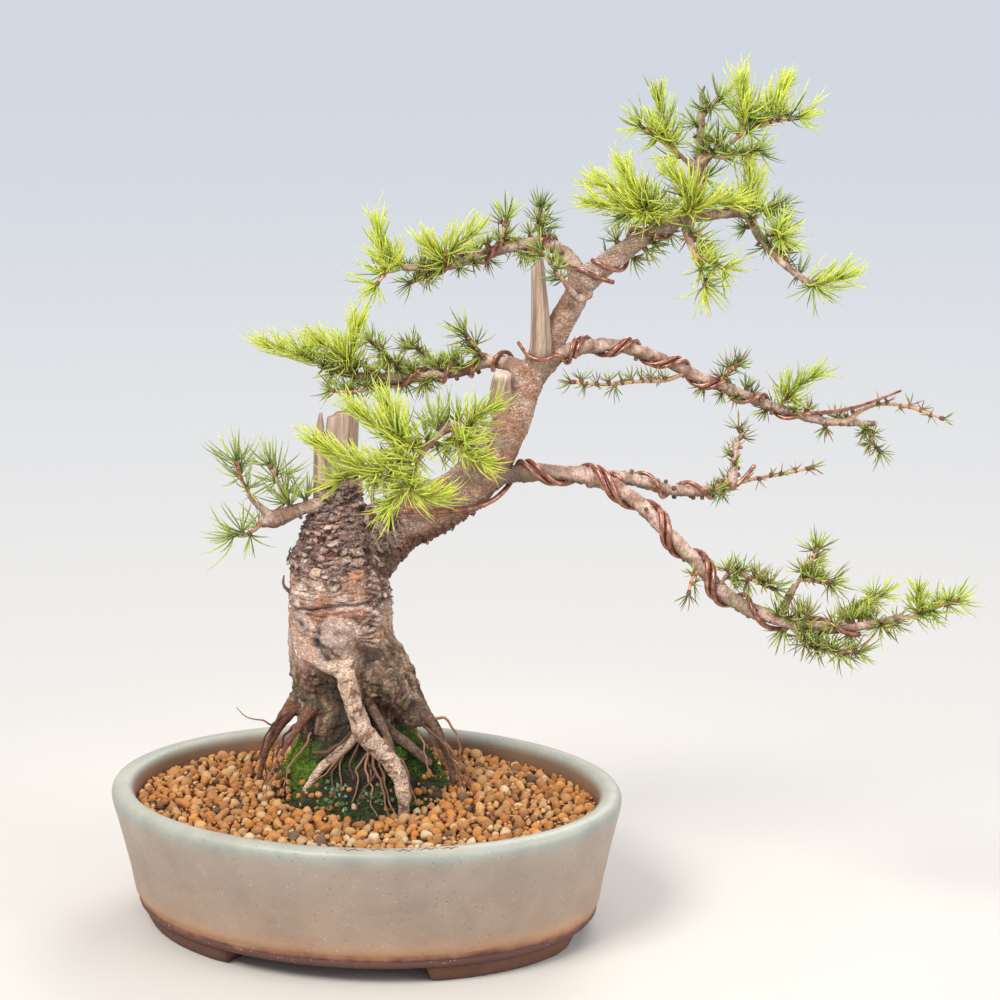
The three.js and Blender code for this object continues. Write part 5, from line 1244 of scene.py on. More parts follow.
def crown_of_needles(root, axis, count, low, high, length, slot, style, lift=0.35):
    """Needles fan out from one bud, between two tilts from its axis."""
    axis = unit(np.asarray(axis, float))
    helper = np.array([0, 0, 1.0]) if abs(axis[2]) < 0.9 else np.array([1.0, 0, 0])
    u = unit(np.cross(axis, helper))
    v = np.cross(axis, u)
    turn = rng.uniform(0, 2 * np.pi) + GOLDEN_TURN * np.arange(count) + rng.normal(0, 0.2, count)
    tilt = np.radians(low + (high - low) * np.sqrt(rng.uniform(0, 1, count)))
    aim = (axis[None] * np.cos(tilt)[:, None]
           + (u[None] * np.cos(turn)[:, None] + v[None] * np.sin(turn)[:, None]) * np.sin(tilt)[:, None])
    lengths = length * rng.uniform(0.6, 1.15, count)
    bend = unit(axis[None] * 0.7 + np.array([0, 0, lift]) + rng.normal(0, 0.35, (count, 3)))
    curve = STYLES[style][4]
    for k in range(count):
        needles[slot].append((root + aim[k] * 0.4, aim[k], lengths[k], bend[k],
                              rng.uniform(0.3, 1.6) * curve, toned(style)))


def shoot_needles(samples, slot, style, spacing, length):
    """Needles all round a fresh shoot, leaning towards its tip and shorter at its end."""
    total = samples["along"][-1]
    count = int(total / spacing)
    curve = STYLES[style][4]
    for k in range(count):
        s = total * (0.06 + 0.94 * (k + rng.uniform(0, 1)) / count)
        share = s / total
        i = sample_at(samples, share)
        turn = GOLDEN_TURN * k + rng.uniform(-0.4, 0.4)
        tilt = math.radians(66 - 34 * share + rng.uniform(-16, 16))
        outward = way_out(samples, i, turn)
        aim = unit(samples["ahead"][i] * math.cos(tilt) + outward * math.sin(tilt)
                   + np.array([0, 0, 0.16]))
        bend = unit(samples["ahead"][i] * 0.8 + np.array([0, 0, 0.65]) + rng.normal(0, 0.35, 3))
        size = length * rng.uniform(0.66, 1.12) * (1 - 0.22 * share)
        needles[slot].append((samples["at"][i] + outward * 0.5, aim, size, bend,
                              rng.uniform(0.4, 1.6) * curve, toned(style)))


def bud_scales(root, axis, radius=1.45):
    """The short brown spur that a rosette grows from, ringed like a stack of old leaf scars."""
    axis = unit(np.asarray(axis, float))
    helper = unit(np.cross(axis, unit(np.array([0.3, 0.9, 0.14]))))
    steps = np.array([-1.6, -0.4, 0.2, 0.7, 1.1, 1.5])
    widths = radius * np.array([0.8, 0.85, 1.08, 0.86, 1.0, 0.55])
    bud = {"at": root + axis * steps[:, None], "ahead": np.tile(axis, (6, 1)),
           "side": np.tile(helper, (6, 1)), "radius": widths, "along": steps}
    bud["across"] = np.cross(bud["ahead"], bud["side"])
    points, tris, quads = tube(bud, 7)
    shade = srgb(116, 84, 62) if rng.uniform() < 0.6 else srgb(148, 104, 72)
    twigs.add(points, tris, quads, shade * rng.uniform(0.85, 1.2))


twigs = Soup()
for spray, (colour, *parts) in SPRAYS.items():
    style = style_of(spray, colour)
    length, per_bud, between_buds, _, _ = STYLES[style]
    for run, tufts, kind in parts:
        fresh_shoot = kind == "shoot"
        thick, thin = (1.0, 0.6) if fresh_shoot else (1.25, 0.8)
        rows = [[*p, r] for p, r in zip(run, np.linspace(thick, thin, len(run)))]
        samples = resampled(sample_run(rows, 10), 1.0)
        knuckles = 1 + 0.14 * np.sin(samples["along"] * 1.9) * (0.4 if fresh_shoot else 1)
        points, tris, quads = tube(samples, 7, (samples["radius"] * knuckles)[:, None])
        base_tint = srgb(190, 138, 88) if fresh_shoot else srgb(178, 138, 108)
        tip_tint = srgb(178, 176, 84) if fresh_shoot else srgb(214, 168, 124)
        share = np.repeat(np.linspace(0, 1, len(samples["at"])), 7)
        shade = mix(base_tint, tip_tint, share)
        shade = np.vstack([shade, shade[:1], shade[-1:]])
        twigs.add(points, tris, quads, shade)
        tip, tip_way = samples["at"][-1], samples["ahead"][-1]
        if fresh_shoot:
            shoot_needles(samples, colour, style, 0.42, length * 1.08)
            crown_of_needles(tip, tip_way, 13, 2, 44, length * 0.9, colour, style)
        buds = max(tufts + 1, int(samples["along"][-1] / between_buds))
        for b in range(buds):
            share = 0.2 + 0.8 * (b + 0.6 * rng.uniform(0, 1)) / buds
            if fresh_shoot and share > 0.45:
                continue
            i = sample_at(samples, share)
            outward = way_out(samples, i, rng.uniform(0, 2 * np.pi))
            outward = unit(outward + np.array([0, 0, 0.45]) + samples["ahead"][i] * 0.3)
            local = style
            if style == "lime":
                local = ("fresh", "green", "lime")[rng.integers(3)]
            root = samples["at"][i] + outward * 0.9
            bud_scales(root, outward)
            crown_of_needles(root + outward * 0.9, outward, per_bud, 12, 80, length * rng.uniform(0.75, 1.05),
                             colour, local)
        if not fresh_shoot:
            bud_scales(tip, tip_way)
            crown_of_needles(tip + tip_way, tip_way, per_bud + 3, 4, 76, length, colour, style)


def spots_on(limb_name, start, stop, count):
    """Spots spread along a limb: the point on its axis, the radius and a way out."""
    samples = fine[limb_name]
    for b in range(count):
        i = sample_at(samples, start + (stop - start) * (b + rng.uniform(0, 1)) / count)
        yield samples["at"][i], samples["radius"][i], way_out(samples, i, rng.uniform(0, 2 * np.pi))


for place_on in BARE_SPURS:
    for at, radius_here, outward in spots_on(*place_on):
        bud_scales(at + outward * (radius_here + 0.7), outward, rng.uniform(1.0, 1.5))
for *place_on, style in ON_WOOD:
    length, per_bud, _, _, _ = STYLES[style]
    slot = "green" if style in ("left", "pad", "green") else "dark"
    for at, radius_here, outward in spots_on(*place_on):
        outward = unit(outward + np.array([0, 0, 0.35]))
        root = at + outward * (radius_here + 0.5)
        bud_scales(root, outward, 1.7)
        size = length * rng.uniform(0.75, 1.1)
        crown_of_needles(root + outward, outward, per_bud, 6, 68, size, slot, style)


def needle_mesh(rows):
    """Every needle is a slim blade of three sides that curves softly and narrows to its point."""
    root = np.array([r[0] for r in rows])
    aim = unit(np.array([r[1] for r in rows]))
    length = np.array([r[2] for r in rows])
    bend = np.array([r[3] for r in rows])
    curve = np.array([r[4] for r in rows])
    n = len(rows)
    stops = np.array([0.0, 0.25, 0.5, 0.75])
    widths = np.array([0.34, 0.54, 0.56, 0.42])
    across = unit(np.cross(aim, unit(rng.normal(0, 1, (n, 3)))))
    upward = np.cross(aim, across)
    size = np.clip(length / 16, 0.75, 1.1)

    def at(t):
        return (root + aim * (length * t)[:, None]
                + (bend - aim * (bend * aim).sum(1, keepdims=True)) * (length * curve * t ** 2)[:, None])

    points = []
    for t, width in zip(stops, widths):
        middle = at(np.full(n, t))
        for k in range(NEEDLE_SIDES):
            angle = 2 * math.pi * k / NEEDLE_SIDES
            reach = (width * size)[:, None]
            flat_reach = 0.75 * reach * math.sin(angle)
            points.append(middle + across * (reach * math.cos(angle)) + upward * flat_reach)
    points.append(at(np.full(n, 1.0)))
    points = np.stack(points, axis=1)
    per = points.shape[1]
    faces = [(0, 2, 1)]
    for row in range(len(stops) - 1):
        for k in range(NEEDLE_SIDES):
            a, b = row * NEEDLE_SIDES + k, row * NEEDLE_SIDES + (k + 1) % NEEDLE_SIDES
            c, d = b + NEEDLE_SIDES, a + NEEDLE_SIDES
            faces += [(a, b, c), (a, c, d)]
    last = (len(stops) - 1) * NEEDLE_SIDES
    for k in range(NEEDLE_SIDES):
        faces.append((last + k, last + (k + 1) % NEEDLE_SIDES, per - 1))
    tris = (np.arange(n)[:, None, None] * per + np.array(faces)[None]).reshape(-1, 3)
    low = np.array([TONES[r[5]][0] for r in rows])
    high = np.array([TONES[r[5]][1] for r in rows])
    share = np.repeat(np.append(stops, 1.0), [NEEDLE_SIDES] * len(stops) + [1])
    own = rng.uniform(-0.3, 0.3, n)
    blend = np.clip(0.15 + 0.7 * share[None] + own[:, None], 0, 1)[:, :, None]
    tint = low[:, None] * (1 - blend) + high[:, None] * blend
    return points.reshape(-1, 3), tris, NO_QUADS, tint.reshape(-1, 3)


piece("leafy_twigs", twigs.arrays(), twig_shader.material, sorted(SPRAYS))
for colour, rows in needles.items():
    own = [spray for spray, (its_colour, *_) in SPRAYS.items() if its_colour == colour]
    piece("needles_" + colour, needle_mesh(rows), needle_shader.material, own)

# The mound of root soil, grown over with moss
MOUND_SIDES = 200
MOUND_LEAN = 30.0
MOUND_SINK = 3
MOSS_LEAVES = 15000


def mound_height(reach):
    rise = np.clip((1 - reach) / (1 - MOUND_SHOULDER), 0, 1.2)
    return MOUND_HEIGHT * np.where(rise < 1, rise ** 1.15, 1 + (rise - 1) * 0.5)


def mound_point(reach, angle):
    wobble = 1 + 0.02 * np.sin(3 * angle) + 0.025 * np.sin(5 * angle + 1)
    px = MOUND_CENTRE[0] + MOUND_RADII[0] * reach * wobble * np.cos(angle)
    py = MOUND_CENTRE[1] + MOUND_RADII[1] * reach * wobble * np.sin(angle)
    return np.stack([px, py, SOIL_LEVEL + 1 + mound_height(reach)], axis=-1)


def moss_cover(points):
    """How mossy the mound is at each point, and how bright the moss: painted light on the mound's upper right
    and on its left, with random patches.
    """
    x, y, z = points.T
    patch = fractal_at(points, 14.0, 3.0)
    left = smoothstep(-20, -30, x) * smoothstep(120, 108, z) * smoothstep(74, 90, z)
    right = smoothstep(8, 16, x) * smoothstep(52, 44, x) * smoothstep(74, 88, z)
    behind = smoothstep(20, 40, y) * 0.8
    foot = smoothstep(0, -12, y) * smoothstep(114, 92, z) * 0.62
    cover = np.clip(np.maximum.reduce([left, right, behind, foot]) + 0.9 * patch - 0.12, 0, 1)
    lit = np.maximum(smoothstep(14, 30, x) * smoothstep(94, 104, z), left * 0.8)
    return cover, np.clip(lit + 0.5 * patch, 0, 1)


def crumbs(points):
    """How far the crumbs of soil stand out of the mound at each point."""
    return 2.2 * fractal_at(points, 9.0, 1.0) + 0.9 * noise_at(points, 2.4, 4.0)


def off_mound(points):
    """The way out of the mound at each point, leaning upwards."""
    return unit(np.column_stack([points[:, :2] - MOUND_CENTRE, np.full(len(points), MOUND_LEAN)]))


def mound():
    reaches = np.concatenate([[1.03], np.linspace(1.0, 0.4, 46)])
    grid = np.stack([mound_point(np.full(MOUND_SIDES, r), turns_of(MOUND_SIDES)) for r in reaches])
    grid[0, :, 2] = SOIL_LEVEL - MOUND_SINK
    flat = grid.reshape(-1, 3)
    rough = crumbs(flat)
    flat = flat + off_mound(flat) * rough[:, None]
    cover, bright = moss_cover(flat)
    # The soil is dark brown, and darker still where the surface sinks between crumbs: painted shade
    soil = mix(srgb(38, 30, 24), srgb(82, 62, 46), smoothstep(0, 1.8, rough))
    # The moss is lighter where moss_cover paints light
    moss = mix(srgb(30, 46, 18), srgb(78, 108, 32), bright)
    # The two last rows are for the middles of the bottom and the top, both hidden
    tints = np.vstack([mix(soil, moss, cover), soil[[1, 0]]])
    top = [*MOUND_CENTRE, SOIL_LEVEL + MOUND_HEIGHT]
    bottom = [*MOUND_CENTRE, SOIL_LEVEL - MOUND_SINK]
    return capped(flat, MOUND_SIDES, bottom, top, tints)


def moss_leaves():
    """Short leafy spikes on the mossy places."""
    reach = np.sqrt(rng.uniform(0.36, 1.0, MOSS_LEAVES))
    angle = rng.uniform(0, 2 * np.pi, MOSS_LEAVES)
    spot = mound_point(reach, angle)
    cover, bright = moss_cover(spot)
    keep = rng.uniform(0, 1, MOSS_LEAVES) < cover
    spot, bright = spot[keep], bright[keep]
    outward = off_mound(spot)
    spot = spot + outward * (crumbs(spot) - 0.3)[:, None]
    lean = unit(outward + rng.normal(0, 0.45, spot.shape))
    u = unit(np.cross(lean, rng.normal(0, 1, spot.shape)))
    v = np.cross(lean, u)
    tall = rng.uniform(1.2, 3.0, len(spot))[:, None]
    wide = rng.uniform(0.35, 0.6, len(spot))[:, None]
    corners = [spot + u * wide, spot - u * wide * 0.5 + v * wide * 0.85,
               spot - u * wide * 0.5 - v * wide * 0.85, spot + lean * tall]
    faces = np.array([[0, 2, 1], [0, 1, 3], [1, 2, 3], [2, 0, 3]])
    tris = (np.arange(len(spot))[:, None, None] * 4 + faces).reshape(-1, 3)
    # Brighter leaves carry the painted light
    tone = np.clip(bright + rng.normal(0, 0.2, len(spot)), 0, 1)
    tint = np.repeat(mix(srgb(46, 70, 20), srgb(138, 168, 44), tone), 4, axis=0)
    # Each leaf is darker at its foot and lighter at its tip: painted shade and painted light
    tint = tint * np.tile([0.6, 0.6, 0.6, 1.1], len(spot))[:, None]
    return np.stack(corners, axis=1).reshape(-1, 3), tris, NO_QUADS, tint


piece("mound", mound(), soil_shader.material, ["moss_mound"])
piece("moss_leaves", moss_leaves(), moss_shader.material, smooth=False)

# Fine roots that hang from the flare and run over the mound
ROOTLETS = [
    [[2, -13, 112, 1.0], [3, -17, 100, 0.9], [5, -20, 90, 0.8], [4, -24, 80, 0.6], [1, -30, 72, 0.4]],
    [[8, -13, 106, 1.1], [11, -18, 96, 1.0], [13, -22, 86, 0.9], [17, -28, 76, 0.7], [22, -34, 71, 0.5]],
    [[-2, -13, 110, 0.9], [-6, -17, 102, 0.8], [-7, -19, 96, 0.6], [-5, -22, 90, 0.4]],
    [[40, 6, 118, 1.2], [46, 5, 119, 1.0], [52, 5, 112, 0.9], [55, 5, 100, 0.7], [54, 5, 86, 0.6],
     [56, 5, 73, 0.4]],
    [[-44, 10, 122, 1.0], [-55, 6, 113, 0.8], [-60, 4, 100, 0.7], [-58, 2, 86, 0.6], [-62, 0, 73, 0.4]],
    [[-50, 9, 112, 0.9], [-60, 4, 118, 0.6], [-68, 2, 121, 0.4], [-74, 2, 126, 0.25]],
    [[-40, 0, 116, 0.9], [-46, -6, 104, 0.8], [-53, -8, 92, 0.6], [-57, -10, 78, 0.4]],
    [[16, -9, 104, 0.9], [19, -13, 98, 0.8], [18, -18, 90, 0.7], [20, -20, 82, 0.5]],
    [[30, 4, 112, 0.9], [34, -1, 106, 0.7], [35, -4, 98, 0.6], [39, -8, 88, 0.4]],
    [[36, 6, 112, 0.8], [40, 1, 104, 0.7], [46, -1, 96, 0.6], [50, -2, 84, 0.4]],
    [[-10, -13, 106, 0.8], [-13, -18, 98, 0.7], [-12, -22, 90, 0.6], [-16, -26, 80, 0.4]],
    [[14, -16, 96, 0.8], [9, -22, 88, 0.7], [10, -27, 80, 0.5], [6, -31, 74, 0.4]],
    [[6, -18, 104, 1.2], [8, -22, 95, 1.1], [12, -26, 86, 0.9], [14, -31, 78, 0.7], [18, -36, 71, 0.4]],
    [[3, -17, 106, 1.0], [2, -21, 96, 0.9], [6, -25, 86, 0.7], [5, -29, 79, 0.5], [9, -33, 73, 0.4]],
    [[16, -20, 98, 1.3], [23, -18, 92, 1.1], [27, -20, 84, 0.9], [26, -26, 76, 0.6], [29, -32, 71, 0.4]],
    [[12, -9, 112, 1.3], [17, -13, 104, 1.1], [25, -15, 96, 0.9], [27, -19, 86, 0.7], [31, -24, 76, 0.5]],
    [[-8, -15, 108, 1.0], [-15, -18, 101, 0.9], [-20, -20, 95, 0.7], [-27, -21, 90, 0.4]],
    [[28, 6, 118, 1.4], [38, 2, 113, 1.2], [47, -2, 104, 1.0], [54, -6, 92, 0.8], [58, -8, 80, 0.5]],
    [[-36, 6, 118, 1.3], [-46, 0, 110, 1.0], [-50, -5, 98, 0.8], [-47, -10, 88, 0.6], [-50, -14, 78, 0.4]],
    [[-30, -2, 112, 1.1], [-35, -8, 104, 0.9], [-42, -12, 97, 0.7], [-45, -17, 86, 0.4]],
    [[-29, -13, 105, 1.3], [-20, -17, 106, 1.5], [-12, -15, 111, 1.2], [-5, -10, 117, 0.9]],
    [[2, -17, 104, 0.8], [-3, -21, 97, 0.7], [-2, -25, 89, 0.6], [-6, -29, 80, 0.4]],
    [[8, -20, 96, 0.8], [4, -24, 90, 0.7], [-1, -27, 84, 0.5], [-3, -32, 76, 0.35]],
    [[-14, -17, 100, 0.8], [-18, -21, 92, 0.7], [-15, -26, 85, 0.5], [-19, -30, 77, 0.35]],
    [[34, 10, 116, 1.6], [44, 8, 106, 1.4], [52, 6, 96, 1.1], [60, 4, 84, 0.7], [64, 2, 73, 0.4]],
]


def rootlets():
    made = Soup()
    for run in ROOTLETS:
        samples = resampled(sample_run(run, 10), 1.2)
        wander = np.stack([noise_at(samples["at"], 6.0, o) for o in (1.0, 5.0, 9.0)], axis=1)
        samples["at"] = samples["at"] + 1.3 * wander
        samples["radius"] = samples["radius"] * 0.8
        shade = mix(srgb(160, 112, 84), srgb(62, 42, 32), rng.uniform(0.0, 0.9))
        made.add(*tube(samples, 7), shade)
    return made.arrays()


# Lichen: small blue-green rosettes with a wavy rim on the mound's foot
LICHEN_RIM = 14
LICHEN_PATCHES = ((-1.86, 0.13, 20), (-1.28, 0.12, 18), (-1.5, 0.45, 6))


def lichens():
    made = Soup()
    around = turns_of(LICHEN_RIM)
    tris = np.vstack([fan(LICHEN_RIM, 0, LICHEN_RIM), fan(LICHEN_RIM + 1, 0, LICHEN_RIM, -1)])
    for turn, spread, number in LICHEN_PATCHES:
        for _ in range(number):
            angle, reach = turn + rng.normal(0, spread), rng.uniform(0.78, 0.96)
            at = mound_point(np.array(reach), np.array(angle))
            n = unit(np.array([*(at[:2] - MOUND_CENTRE), MOUND_LEAN]) + rng.normal(0, 12, 3))
            at = at + n * (crumbs(at[None])[0] + 0.5)
            u = unit(np.cross(n, rng.normal(0, 1, 3)))
            v = np.cross(n, u)
            size = rng.uniform(0.8, 1.9)
            wavy = 1 + 0.2 * np.sin(5 * around + rng.uniform(0, 6)) + 0.08 * rng.normal(0, 1, LICHEN_RIM)
            wide = size * wavy
            rim = at + u * (wide * np.cos(around))[:, None] + v * (wide * np.sin(around))[:, None]
            rim = rim + n * (0.3 * np.sin(3 * around + rng.uniform(0, 6)))[:, None]
            shade = mix(srgb(66, 90, 66), srgb(118, 142, 112), rng.uniform(0, 1))
            made.add(np.vstack([rim, at + n * 0.35, at - n * 0.7]), tris, None, shade)
    return made.arrays()


piece("rootlets", rootlets(), root_shader.material)
piece("lichens", lichens(), moss_shader.material)

# The pot: an oval body turned on the same section as the solid, with softened corners.
# Each step of the section is an inset from the rim's outline and a level.
SECTION = [
    [60, 10.0], [30, 10.0], [17.5, 10.0], [15.4, 10.6], [14.3, 12.0], [14.0, 13.2], [14.6, 14.2],
    [14.6, 15.0], [13.9, 15.8], [13.9, 17.4], [13.4, 18.3], [12.3, 19.6], [11.6, 23], [9.9, 34],
    [8.0, 43], [6.0, 52], [3.9, 61], [2.2, 68], [1.0, 72.5], [0.45, 75.5], [0.35, 77.6],
    [0.75, 79.6], [1.9, 81.2], [3.7, 82.1], [6.2, 82.4], [8.7, 82.1], [10.9, 81.0], [12.6, 79.0],
    [13.4, 76.5], [13.8, 72], [14.0, 68], [16.5, 51], [19.5, 33], [21.5, 24], [23.6, 20.2],
    [27, 19.0], [60, 19.0],
]
POT_SIDES = 160
# The rim's crest: insets and levels
CREST = [1.9, 3.7, 6.2, 8.7], [81.2, 82.1, 82.4, 82.1]
# Hairlines: start and stop round the rim, and inset
RIM_LINES = ((-1.47, -1.38, 4.9), (-1.37, -1.29, 5.8), (-1.27, -1.19, 4.7), (-1.18, -1.1, 5.6),
             (-1.09, -1.02, 5.0))
FEET = ((0.28, 1.13), (2.01, 2.86), (3.42, 4.27), (5.15, 6.0))
FOOT_TOP = 10.8
FOOT_PROFILE = [[17.0, FOOT_TOP], [17.4, 8.0], [18.6, 4.0], [20.0, 1.2], [21.0, 0.3], [22.2, 0.0],
                [41.0, 0.0], [42.2, 0.4], [42.8, 1.6], [44.0, FOOT_TOP]]
FOOT_STEPS = 24


def oval(inset, angle):
    flat = np.stack([(POT_HALF[0] - inset) * np.cos(angle), (POT_HALF[1] - inset) * np.sin(angle)], axis=-1)
    c, s = math.cos(POT_YAW), math.sin(POT_YAW)
    return np.stack([flat[..., 0] * c - flat[..., 1] * s, flat[..., 0] * s + flat[..., 1] * c], axis=-1)


def oval_ring(inset, level):
    """A level ring of points round the pot."""
    xy = oval(np.full(POT_SIDES, inset), turns_of(POT_SIDES))
    return np.column_stack([xy, np.full(POT_SIDES, level)])


def pot_body():
    rows = np.array([oval_ring(inset, level) for inset, level in SECTION])
    hand = fractal_at(rows.reshape(-1, 3), 60.0, 3.0).reshape(len(SECTION), POT_SIDES)
    radial = unit(rows * np.array([1, 1, 0]))
    shown = np.array([1.0 if 12 < level < 83 and inset < 20 else 0.0 for inset, level in SECTION])
    rows = rows + radial * (hand * 0.35 * shown[:, None])[:, :, None]
    # Inside, above the grains, the wall is stained brown
    stained = [1.0 if inset > 13 and level > 30 else 0.55 if inset > 12 and level > 78 else 0.0
               for inset, level in SECTION]
    stain = np.append(np.repeat(stained, POT_SIDES), [0, 0])
    tint = mix(WHITE, srgb(222, 184, 160), stain)
    return capped(rows.reshape(-1, 3), POT_SIDES, [0, 0, SECTION[0][1]], [0, 0, SECTION[-1][1]], tint)


def glaze():
    """Bare clay at the foot, a toasted edge, and a speckled glaze that thins at the rim."""
    shader = Shader("glazed_stoneware", 0.5, Coat_Weight=0.1, Coat_Roughness=0.35)
    split = shader.node("ShaderNodeSeparateXYZ")
    shader.link(shader.coords, split.inputs[0])
    waver = shader.math("MULTIPLY_ADD", shader.noise(40, 4), 0.010, -0.005)
    fine_waver = shader.math("MULTIPLY_ADD", shader.noise(7, 3), 0.003, -0.0015)
    level = shader.math("ADD", split.outputs["Z"], waver)
    level = shader.math("ADD", level, fine_waver)
    share = shader.math("DIVIDE", level, 0.084, clamp=True)
    body = shader.ramp(share, [
        (0.0, srgb(88, 54, 46)), (0.172, srgb(92, 56, 48)), (0.195, srgb(146, 98, 70)),
        (0.225, srgb(180, 136, 102)), (0.33, srgb(162, 138, 118)), (0.62, srgb(158, 139, 123)),
        (0.86, srgb(162, 147, 132)), (0.925, srgb(152, 154, 144)), (0.965, srgb(163, 162, 147)),
        (1.0, srgb(171, 166, 150))])
    body = shader.blend("MULTIPLY", body, shader.ramp(shader.noise(24, 5), [(0.3, 0.86), (0.7, 1.1)]))
    pale = shader.math("LESS_THAN", shader.cells(2.2).outputs["Distance"], 0.17)
    pale = shader.math("MULTIPLY", pale, shader.math("GREATER_THAN", shader.noise(5, 2), 0.54))
    body = shader.blend("MIX", body, srgb(208, 202, 190), shader.math("MULTIPLY", pale, 0.42))
    dark = shader.math("LESS_THAN", shader.cells(4.6).outputs["Distance"], 0.1)
    body = shader.blend("MIX", body, srgb(96, 84, 72), shader.math("MULTIPLY", dark, 0.6))
    shader.colour(shader.blend("MULTIPLY", body, shader.tint()))
    gloss = shader.ramp(share, [(0.18, 0.7), (0.27, 0.55), (1.0, 0.46)])
    shader.link(gloss, shader.bsdf.inputs["Roughness"])
    relief = shader.math("ADD", shader.noise(6, 4), shader.math("MULTIPLY", shader.noise(1.2, 3), 0.25))
    shader.bump(relief, 0.35)
    return shader


def rim_hairlines():
    """Fine brown hairlines in the glaze on the front of the rim, inside its crest."""
    made = Soup()
    t = np.linspace(0, 1, 20)
    for start, stop, inset in RIM_LINES:
        inward = inset + 0.7 * np.sin(14 * t + 9 * start) + 0.4 * np.sin(31 * t)
        xy = oval(inward, start + (stop - start) * t)
        width = 0.42 * np.sin(np.pi * np.clip(t, 0.12, 0.88))
        run = np.column_stack([xy, np.interp(inward, *CREST) + 0.05, width])
        made.add(*tube(sample_run(run, 3), 6), srgb(142, 92, 66))
    return made.arrays()


def pot_feet():
    made = Soup()
    n = len(FOOT_PROFILE)
    for start, stop in FEET:
        rings = []
        for step in range(FOOT_STEPS + 1):
            t = step / FOOT_STEPS
            at_end = min(t, 1 - t) * FOOT_STEPS < 1
            for inset, level in FOOT_PROFILE:
                lean = (0.03 * (1 - level / FOOT_TOP)) * (1 - 2 * t)
                lift = 0.6 if at_end and level <= 5 else 0.0
                xy = oval(np.array(inset), np.array(start + (stop - start) * t + lean))
                rings.append([*xy, level + lift])
        rings = np.array(rings, float)
        points = np.vstack([rings, rings[:n].mean(0), rings[-n:].mean(0)])
        tris = np.vstack([fan(len(rings), 0, n), fan(len(rings) + 1, FOOT_STEPS * n, n, -1)])
        # The profile runs the other way round than the other rings do
        quads = ring_quads(FOOT_STEPS + 1, n)[:, [0, 3, 2, 1]]
        made.add(points, tris, quads, srgb(102, 68, 52))
    return made.arrays()


piece("pot_glazed", pot_body(), glaze().material, ["pot"])
piece("rim_hairlines", rim_hairlines(), root_shader.material, ["pot"])
foot_shader = grainy("bare_stoneware", 0.9, 3.0, 0.75, 1.2, 0.3)
piece("pot_feet", pot_feet(), foot_shader.material, ["pot"])

# Granules: rounded, chipped grains of baked clay, with paler and darker stones among them
CLAY = [srgb(194, 134, 72), srgb(182, 118, 62), srgb(198, 142, 82), srgb(174, 122, 74), srgb(200, 152, 98),
        srgb(162, 106, 62), srgb(186, 132, 82), srgb(192, 126, 62)]
PALE = [srgb(202, 168, 124), srgb(194, 156, 112), srgb(208, 180, 140)]
DARK = [srgb(112, 84, 60), srgb(120, 94, 70), srgb(96, 74, 56)]
DARK_SHARE = 0.05
# Smallest and largest radius, how many tries, and how close the grains may lie
GRAIN_SIZES = ((3.6, 4.6, 1500, 0.86), (2.6, 3.6, 9000, 0.82), (1.7, 2.6, 12000, 0.78),
               (0.9, 1.5, 12000, 0.8))
GRAIN_SHAPES = 24
GRAIN_CELL = 6.0
BED_INSET = 14.6
BED_LEVEL = SOIL_LEVEL - 1.6
BED_RINGS = 33
# The swell of the soil: its height, its breadth, and where its noise is read
SWELL, SWELL_BREADTH, SWELL_AT = 2.6, 34, 0.3


def grain_shapes():
    ball = bpy.data.meshes.new("ball")
    bm = bmesh.new()
    bmesh.ops.create_icosphere(bm, subdivisions=2, radius=1.0)
    bm.to_mesh(ball)
    bm.free()
    points = np.array([v.co[:] for v in ball.vertices])
    tris = np.array([p.vertices[:] for p in ball.polygons])
    shapes = []
    for k in range(GRAIN_SHAPES):
        lumps = noise_at(points, 0.9, 11.0 * k) * 0.3 + noise_at(points, 0.42, 5.0 * k) * 0.16
        shape = points * (1 + lumps)[:, None]
        for depth in (0.5, 0.6, 0.7):
            chip = unit(rng.normal(0, 1, 3))
            shape = shape - chip[None] * np.clip(shape @ chip - depth, 0, 1)[:, None] * 0.85
        shapes.append(shape * rng.uniform([0.85, 0.75, 0.6], [1.2, 1.0, 0.9]))
    return shapes, tris


def turned(points):
    """The points turned at random about their middle."""
    w, a, b, c = unit(rng.normal(0, 1, 4))
    turn = np.array([
        [1 - 2 * (b * b + c * c), 2 * (a * b - w * c), 2 * (a * c + w * b)],
        [2 * (a * b + w * c), 1 - 2 * (a * a + c * c), 2 * (b * c - w * a)],
        [2 * (a * c - w * b), 2 * (b * c + w * a), 1 - 2 * (a * a + b * b)]])
    return points @ turn.T


def inside_pot(x, y, r):
    c, s = math.cos(-POT_YAW), math.sin(-POT_YAW)
    u, v = x * c - y * s, x * s + y * c
    return (u / (POT_HALF[0] - 14.3 - r)) ** 2 + (v / (POT_HALF[1] - 14.3 - r)) ** 2 < 1


def has_room(taken, cell, x, y, r, closeness):
    for cx in range(cell[0] - 2, cell[0] + 3):
        for cy in range(cell[1] - 2, cell[1] + 3):
            for other_x, other_y, other_r in taken.get((cx, cy), ()):
                if math.hypot(other_x - x, other_y - y) < (other_r + r) * closeness:
                    return False
    return True


